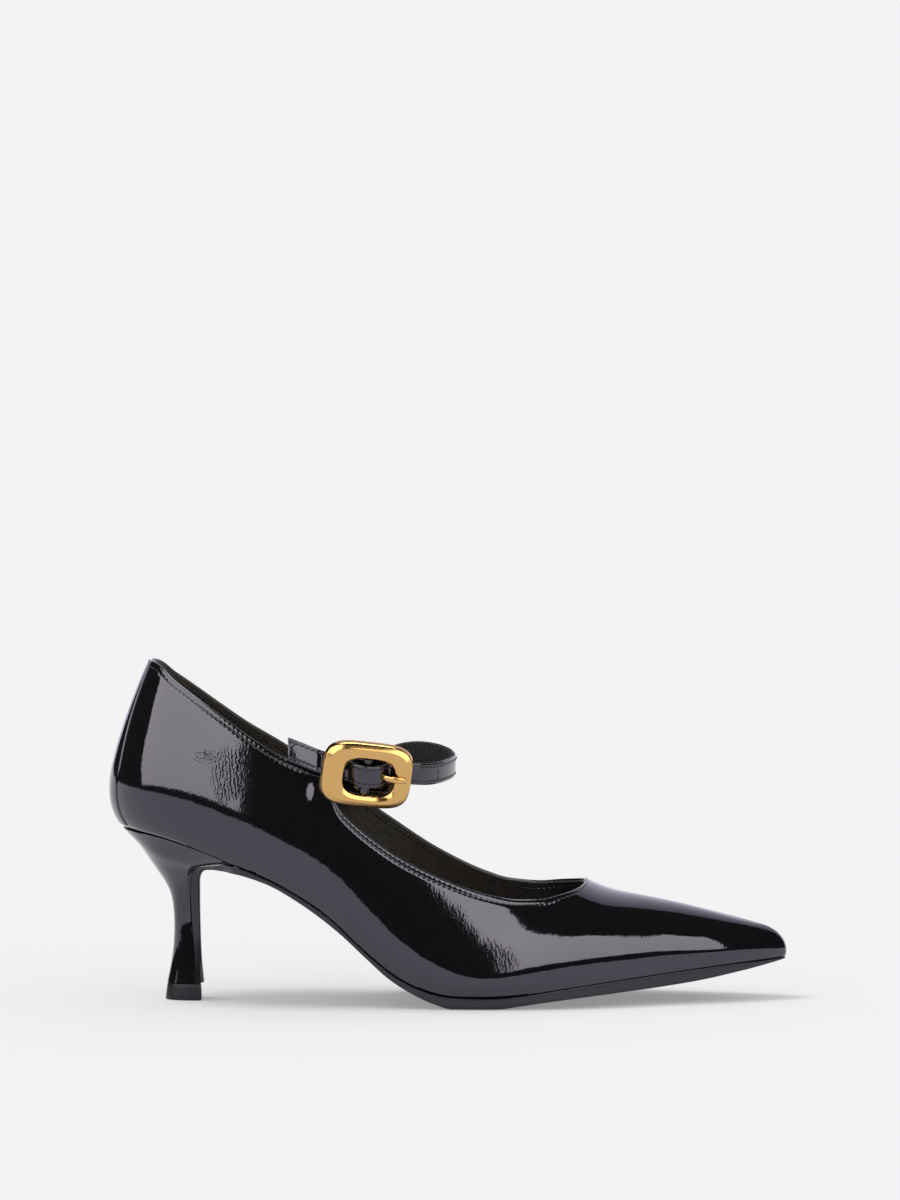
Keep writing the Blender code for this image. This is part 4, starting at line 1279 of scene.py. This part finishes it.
class PUMP_OT_heel(bpy.types.Operator):
    """Makes the covered heel and its rubber top piece"""

    bl_idname = "pump.heel"
    bl_label = "Heel"

    def execute(self, context):
        table = np.array(HEEL)
        back, breast, overlap = table[:, :2], table[:, 2:4], table[:, 6:]
        run = unit(np.gradient(breast, axis=0))
        breast = breast + np.stack((run[:, 1], -run[:, 0]), axis=-1) * (GAP + overlap)
        rings = [
            heel_ring(front, rear, round_back(width), easing)
            for front, rear, width, easing in zip(breast, back, table[:, 4], table[:, 5])
        ]
        seat = heel_ring((SEAT_FRONT, 0.0), (SEAT_BACK, 0.0), self.seat_width, SEAT_EASING)
        back_share = (SEAT_FRONT - seat[:, 0]) / (SEAT_FRONT - SEAT_BACK)
        seat[:, 2] = feather_z(seat[:, 0]) - GAP - SEAT_GAP * back_share
        rings = np.array((*rings, seat))
        rings[-2] = self.neck(*rings[-3:])
        along = distances(rings[:, BACK_POINT])
        at = np.linspace(0, along[-1], HEEL_RINGS)
        dense = resampled(rings.reshape(len(rings), -1), along, at).reshape(len(at), -1, 3)
        top = dense[-1]
        inward = unit((top.mean(axis=0) - top) * (1.0, 1.0, 0.0))
        lips = [top + inward * draw + (0.0, 0.0, rise) for draw, rise in SEAT_LIP]
        builder = loft(np.concatenate((dense, lips)))
        finish_piece("heel_cover", builder, patent_material(), "heel", "heel")
        self.make_top_piece()
        return {"FINISHED"}

    def neck(self, below, ring, seat):
        """The ring under the seat, which at the sides and back lies half way up the flare."""
        front, back = ring[0, 0], ring[:, 0].min()
        behind = np.clip((front - ring[:, :1]) / (front - back) / NECK_SHARE, 0, 1)
        return ring + ((below + seat) / 2 - ring) * behind**2 * (3 - 2 * behind)

    def seat_width(self, share, side):
        """Half width of the heel seat, which follows the feather line."""
        x = SEAT_FRONT + (SEAT_BACK - SEAT_FRONT) * share
        return half_width(x, np.full(x.shape, side), SEAT_INSET)

    def make_top_piece(self):
        """The rubber cap under the heel."""
        low, high = np.array(TOP_PIECE)
        rings = []
        for z, inset in TOP_PIECE_RINGS:
            _, back, front, width = low + (high - low) * (z / TOP_PIECE_HEIGHT)
            sides = round_back(width - inset)
            rings.append(heel_ring((front - inset, z), (back + inset, z), sides, TOP_PIECE_EASING))
        material = rubber_material("moulded_rubber", 0.4, 1.45)
        finish_piece("top_piece_rubber", loft(rings), material, "top_piece", "top_piece")


def buckle_axes():
    """Directions of the buckle's u, v and w in the last's frame."""
    along = np.array((math.cos(BUCKLE_YAW), math.sin(BUCKLE_YAW), 0.0)) * math.cos(BUCKLE_PITCH)
    along[2] = -math.sin(BUCKLE_PITCH)
    level = np.array((math.sin(BUCKLE_YAW), -math.cos(BUCKLE_YAW), 0.0))
    upright = np.cross(level, along)
    up = upright * math.cos(BUCKLE_LEAN) + level * math.sin(BUCKLE_LEAN)
    return along, up, level * math.cos(BUCKLE_LEAN) - upright * math.sin(BUCKLE_LEAN)


def buckle_points(uvw):
    """Points of the buckle's own frame, in the last's frame."""
    return np.array(BUCKLE_MIDDLE) + np.asarray(uvw, float) @ np.array(buckle_axes())


def corner_curve(turn, length, height, power):
    """Points of a rounded oblong: an ellipse whose corners a higher power fills out."""
    cosine, sine = np.cos(turn), np.sin(turn)
    u = np.sign(cosine) * np.abs(cosine) ** (2 / power) * length / 2
    v = np.sign(sine) * np.abs(sine) ** (2 / power) * height / 2
    return u, v


def loop_route(radius, angles, steps, v=0.0):
    """Points (u, v, w) round the centre bar between two angles in degrees."""
    turn = np.radians(np.linspace(*angles, steps))
    return [(radius * math.cos(a), v, BAR_W + radius * math.sin(a)) for a in turn]


class PUMP_OT_strap(bpy.types.Operator):
    """Makes the instep strap: a patent face, a matt back and its stitch rows"""

    bl_idname = "pump.strap"
    bl_label = "Strap"

    def execute(self, context):
        shape = context.scene.pump_shape
        route, run, up, out, along = self.frames()
        half = STRAP_WIDTH / 2
        thick = STRAP_THICKNESS / 2
        inset = half - STRAP_STITCH_INSET
        turn = full_turn(FACE_POINTS)
        across = np.sign(np.cos(turn)) * np.abs(np.cos(turn)) ** EDGE_CROWDING
        depth = np.sqrt(np.maximum(1 - np.abs(across) ** EDGE_ROUND_POWER, 0))
        depth = depth * np.sign(np.sin(turn) + 1e-9)
        front = depth > 0
        wave = np.cos(2 * math.pi * along / (shape.stitch_pitch / MM))[:, None]
        groove = np.exp(-(((np.abs(across * half) - inset) / STRAP_GROOVE_WIDTH) ** 2)) * front
        pull = shape.pucker / MM * groove * (GROOVE_EVEN - GROOVE_WAVE * wave)
        level = thick / 2 * (1 + depth) + FACE_DOME * (1 - across**2) * front - pull
        face = self.soft_ends(self.sweep(route, up, out, across * half, level), run)
        finish_piece("strap_face", loft(face), patent_material(), "strap", "strap")
        narrow = half - BACK_INSET
        outline = rounded_section(
            ((-narrow, -BACK_LAP), (narrow, -BACK_LAP), (narrow, -thick), (-narrow, -thick)),
            BACK_EASING,
        )
        level = np.tile(outline[:, 1], (len(route), 1))
        back = self.sweep(route, up, out, outline[:, 0], level)
        material = grain_material("strap_suede", context.scene.pump_finish.suede, 0.5, 0.05, 0.85)
        finish_piece("strap_back", loft(back), material, "strap")
        self.make_stitches(shape, route, up, out, along, inset, thick)
        return {"FINISHED"}

    def frames(self):
        """The strap's route with its own directions along, up and outwards."""
        weave = [buckle_points(row) for row in STRAP_WEAVE]
        points = np.array((*STRAP_FREE_END, *weave, *STRAP_LOOP))
        knots = distances(points)
        at = np.linspace(0, knots[-1], STRAP_RINGS)
        rows = resampled(np.column_stack((points, STRAP_LEAN)), knots, at)
        route, lean = rows[:, :3], np.radians(rows[:, 3:])
        run = unit(np.gradient(route, axis=0))
        level = unit(np.cross(run, (0.0, 0.0, 1.0)))
        up = np.cos(lean) * (0.0, 0.0, 1.0) - level * np.sin(lean)
        up = unit(up - run * np.sum(up * run, axis=1, keepdims=True))
        out = np.cross(run, up)
        along = distances(route)
        skew = STRAP_END_SKEW * np.maximum(1 - along / STRAP_END_RUN, 0)
        return route, run, up - run * skew[:, None], out, along

    def sweep(self, route, up, out, across, level):
        """Rings of a cross section carried along the route."""
        return route[:, None] + up[:, None] * across[:, None] + out[:, None] * level[..., None]

    def soft_ends(self, rings, run):
        """The rings with a rounded end ring before the first and after the last."""
        ends = []
        for ring, away in ((rings[0], -run[0]), (rings[-1], run[-1])):
            middle = ring.mean(axis=0)
            ends.append(middle + (ring - middle) * END_SHRINK + away * END_REACH)
        return np.array((ends[0], *rings, ends[1]))

    def make_stitches(self, shape, route, up, out, along, inset, thick):
        """Rows along both edges, front and back, and two rows across."""
        builder = bmesh.new()
        for edge in (-inset, inset):
            row = route + up * edge
            add_stitches(builder, row + out * (thick + ROW_LIFT), out, shape)
            add_stitches(builder, row - out * (thick - ROW_LIFT), -out, shape)
        end = int(np.searchsorted(along, STRAP_END_TACK))
        beyond = int(np.argmax(route[:, 0] > STRAP_TACK))
        across = np.linspace(-inset, inset, TACK_POINTS)[:, None]
        for i in (end, beyond):
            line = route[i] + up[i] * across + out[i] * (thick + TACK_LIFT)
            add_stitches(builder, line, np.tile(out[i], (TACK_POINTS, 1)), shape)
        finish_piece("strap_stitches", builder, thread_material(), "strap")


def bent_rings(route, outline):
    """Rings of an outline (across v, off the route) carried along a route in the buckle's frame."""
    route = np.asarray(route, float)
    run, rise = np.gradient(route[:, 0]), np.gradient(route[:, 2])
    slope = np.hypot(run, rise)
    off_u, off_w = -rise / slope, run / slope
    outline = np.asarray(outline, float)
    if outline.ndim == 2:
        outline = np.tile(outline, (len(route), 1, 1))
    u = route[:, None, 0] + off_u[:, None] * outline[..., 1]
    v = route[:, None, 1] + outline[..., 0]
    w = route[:, None, 2] + off_w[:, None] * outline[..., 1]
    return buckle_points(np.stack((u, v, w), axis=-1))


class PUMP_OT_buckle(bpy.types.Operator):
    """Makes the buckle's cast frame with its bar, the prong and the leather tab"""

    bl_idname = "pump.buckle"
    bl_label = "Buckle"

    def execute(self, context):
        self.make_frame()
        self.make_prong()
        self.make_tab()
        return {"FINISHED"}

    def make_frame(self):
        """The cast frame and its centre bar."""
        outside = ((0.0, 0.0), (SIDE_SLOPE, OUTER_RIM), (OUTER_BEVEL, FRAME_DEPTH))
        opening = ((OPENING_EDGE, FRAME_DEPTH, INNER_SINK), (0.0, INNER_RIM, 0.0), (0.0, 0.0, 0.0))
        rings = []
        for turn in full_turn(FRAME_RINGS):
            corners = []
            for bevel, w in outside:
                length, height = FRAME_LENGTH - 2 * bevel, FRAME_HEIGHT - 2 * bevel
                corners.append((*corner_curve(turn, length, height, FRAME_CORNER_POWER), w))
            for bevel, w, sink in opening:
                length = OPENING_LENGTH + OPENING_GROWTH[0] + 2 * bevel
                height = OPENING_HEIGHT + OPENING_GROWTH[1] + 2 * bevel
                u, v = corner_curve(turn, length, height, OPENING_CORNER_POWER)
                drop = OPENING_SHIFT[1] - OPENING_DROP - sink
                corners.append((u + OPENING_SHIFT[0], v + drop, w))
            rings.append(buckle_points(rounded_section(corners, FRAME_EASING, EASING_STEPS)))
        builder = loft((*rings, rings[0]))
        side = full_turn(BAR_SIDES)
        level, out = BAR_RADIUS * np.cos(side), BAR_W + BAR_RADIUS * np.sin(side)
        circle = np.stack((level, 0 * side, out), axis=-1)
        heights = np.linspace(-0.5, 0.5, BAR_RINGS) * BAR_LENGTH
        loft([buckle_points(circle + (0.0, v, 0.0)) for v in heights], builder)
        finish_piece("buckle_gold", builder, gold_material(), "buckle_frame", "buckle_frame")

    def make_prong(self):
        """The prong, looped on the bar, its tip rounded off."""
        radius = BAR_RADIUS + LOOP_CLEARANCE + PRONG_THICKNESS / 2
        loop = loop_route(radius, PRONG_LOOP, PRONG_LOOP_STEPS)
        route = smooth_route(loop + list(PRONG_SHANK), PRONG_RINGS)
        along = distances(route)
        short = 1 - np.clip((along[-1] - along) / PRONG_TIP, 0, 1)
        size = np.sqrt(np.clip(1 - short**2, PRONG_TIP_LEAST, 1))
        turn = full_turn(PRONG_SIDES)
        half, thick = PRONG_WIDTH / 2, PRONG_THICKNESS / 2
        oval = np.stack((np.cos(turn) * half, np.sin(turn) * thick), axis=-1)
        builder = loft(bent_rings(route, oval * size[:, None, None]))
        finish_piece("prong_gold", builder, gold_material(), "buckle_prong", "buckle_prong")

    def make_tab(self):
        """The tab's tail, its two strips round the bar, and its backing."""
        radius = BAR_RADIUS + LOOP_CLEARANCE + TAB_THICKNESS / 2
        loop = loop_route(radius, TAB_LOOP, TAB_LOOP_STEPS, TAB_LOOP_V)
        route = smooth_route(list(TAB_TAIL) + loop, TAB_RINGS)
        backing = smooth_route((*TAB_BACKING, BACKING_END), BACKING_RINGS)
        tail = int(np.argmax(route[:, 0] > TAB_SLOT_START))
        half = TAB_WIDTH / 2
        strip = (TAB_WIDTH - TAB_SLOT_WIDTH) / 4
        grown = TAB_GROWTH / 2
        builder = bmesh.new()
        for part, middle, wide in (
            (route[: tail + 1], 0.0, half),
            (route[tail:], strip - half - grown, strip + grown),
            (route[tail:], half - strip, strip),
            (backing - (0.0, BACKING_DROP, 0.0), 0.0, (TAB_BACKING_WIDTH + BACKING_GROWTH) / 2),
        ):
            low, high, thick = middle - wide, middle + wide, TAB_THICKNESS / 2
            outline = rounded_section(
                ((low, -thick), (high, -thick), (high, thick), (low, thick)), (TAB_EASING,) * 4
            )
            loft(bent_rings(part, outline), builder)
        finish_piece("tab_patent", builder, patent_material(), "buckle_tab", "buckle_tab")


class PUMP_OT_stage(bpy.types.Operator):
    """Makes the pale floor, the studio light and the camera"""

    bl_idname = "pump.stage"
    bl_label = "Stage"

    def execute(self, context):
        stage = context.scene.pump_stage
        context.scene.view_settings.view_transform = "Standard"
        self.make_floor()
        self.make_world(context.scene)
        for name, corners in SOFTBOXES.items():
            self.make_panel(name, corners, SOFTBOX_TINT, stage.softbox, SOFTBOX_GLOW)
        self.make_panel("backdrop", BACKDROP, BACKDROP_TINT, stage.backdrop, BACKDROP_GLOW)
        self.make_overhead(stage)
        self.make_sun()
        self.make_camera(context.scene, stage)
        return {"FINISHED"}

    def make_floor(self):
        """A level floor that runs out of sight."""
        builder = bmesh.new()
        bmesh.ops.create_circle(builder, cap_ends=True, segments=FLOOR_SIDES, radius=FLOOR_RADIUS)
        mesh_object("floor", builder, floor_material())

    def make_world(self, scene):
        """White all round for the floor and matt surfaces, and dark where gloss mirrors it."""
        world = bpy.data.worlds.new("studio")
        world.use_nodes = True
        tree = world.node_tree
        path = add_node(tree, "ShaderNodeLightPath")
        tone, camera = (
            add_node(tree, "ShaderNodeMix", links={"Factor": path.outputs[ray]}, data_type="RGBA")
            for ray in ("Is Glossy Ray", "Is Camera Ray")
        )
        tone.inputs[6].default_value = colour4([FILL * c for c in FILL_TINT])
        tone.inputs[7].default_value = colour4(GLOSS_DARK)
        tree.links.new(tone.outputs[2], camera.inputs[6])
        camera.inputs[7].default_value = colour4(scene.pump_stage.floor)
        tree.links.new(camera.outputs[2], tree.nodes["Background"].inputs["Color"])
        scene.world = world

    def make_panel(self, name, corners, tint, brightness, glow):
        """A lit panel through corner points, which only gloss mirrors."""
        builder = mapped_grid(np.array(corners) / MM + (*BOX_MIDDLE, 0.0))
        heights = [corner[2] for row in corners for corner in row]
        material = panel_material(name, tint, brightness, glow, heights)
        panel = mesh_object(name, builder, material)
        panel.visible_camera = panel.visible_diffuse = panel.visible_shadow = False

    def make_overhead(self, stage):
        """A level soft light over the shoe, which only gloss mirrors."""
        light = bpy.data.lights.new("overhead", "AREA")
        light.shape = "DISK"
        light.size = OVERHEAD_SIZE
        light.energy = stage.overhead * math.pi**2 * OVERHEAD_SIZE**2 / 4
        lamp = bpy.data.objects.new("overhead", light)
        lamp.location = OVERHEAD_PLACE
        lamp.visible_camera = lamp.visible_diffuse = False
        bpy.context.scene.collection.objects.link(lamp)

    def make_sun(self):
        """A broad light from above that draws the shoe's shadow, which no gloss mirrors."""
        light = bpy.data.lights.new("sky", "SUN")
        light.angle = SKY_SPREAD
        light.energy = (1 - FILL) * math.pi / math.cos(SKY_LEAN)
        sun = bpy.data.objects.new("sky", light)
        sun.rotation_euler = (0.0, -SKY_LEAN, 0.0)
        sun.visible_glossy = False
        bpy.context.scene.collection.objects.link(sun)

    def make_camera(self, scene, stage):
        """A long lens from the outer side, a little above the shoe."""
        data = bpy.data.cameras.new("camera")
        data.sensor_width = SENSOR
        data.lens = data.sensor_width * stage.distance / stage.frame_height
        data.clip_end = CLIP_END
        camera = bpy.data.objects.new("camera", data)
        away = Vector((0.0, -math.cos(stage.elevation), math.sin(stage.elevation)))
        camera.location = Vector(AIM) + away * stage.distance
        camera.rotation_euler = away.to_track_quat("Z", "Y").to_euler()
        scene.collection.objects.link(camera)
        scene.camera = camera


class PUMP_PT_sidebar(bpy.types.Panel):
    """Lists the sizes, colours and steps of the pump"""

    bl_idname = "PUMP_PT_sidebar"
    bl_label = "Kitten heel pump"
    bl_space_type = "VIEW_3D"
    bl_region_type = "UI"
    bl_category = "Pump"

    def draw(self, context):
        for part in GROUPS:
            group = getattr(context.scene, part)
            box = self.layout.box()
            for name in group.__annotations__:
                box.prop(group, name)
        for step in STEPS:
            self.layout.operator(step.bl_idname)


STEPS = (
    PUMP_OT_upper, PUMP_OT_sock, PUMP_OT_outsole, PUMP_OT_heel, PUMP_OT_strap, PUMP_OT_buckle,
    PUMP_OT_stage,
)
GROUPS = {"pump_shape": PumpShape, "pump_finish": PumpFinish, "pump_stage": PumpStage}


def register():
    for made in (*GROUPS.values(), *STEPS, PUMP_PT_sidebar):
        bpy.utils.register_class(made)
    for name, group in GROUPS.items():
        setattr(bpy.types.Scene, name, PointerProperty(type=group))


def unregister():
    for name in GROUPS:
        delattr(bpy.types.Scene, name)
    for made in reversed((*GROUPS.values(), *STEPS, PUMP_PT_sidebar)):
        bpy.utils.unregister_class(made)


def main():
    register()
    bpy.ops.pump.upper()
    bpy.ops.pump.sock()
    bpy.ops.pump.outsole()
    bpy.ops.pump.heel()
    bpy.ops.pump.strap()
    bpy.ops.pump.buckle()
    bpy.ops.pump.stage()


if __name__ == "__main__":
    main()
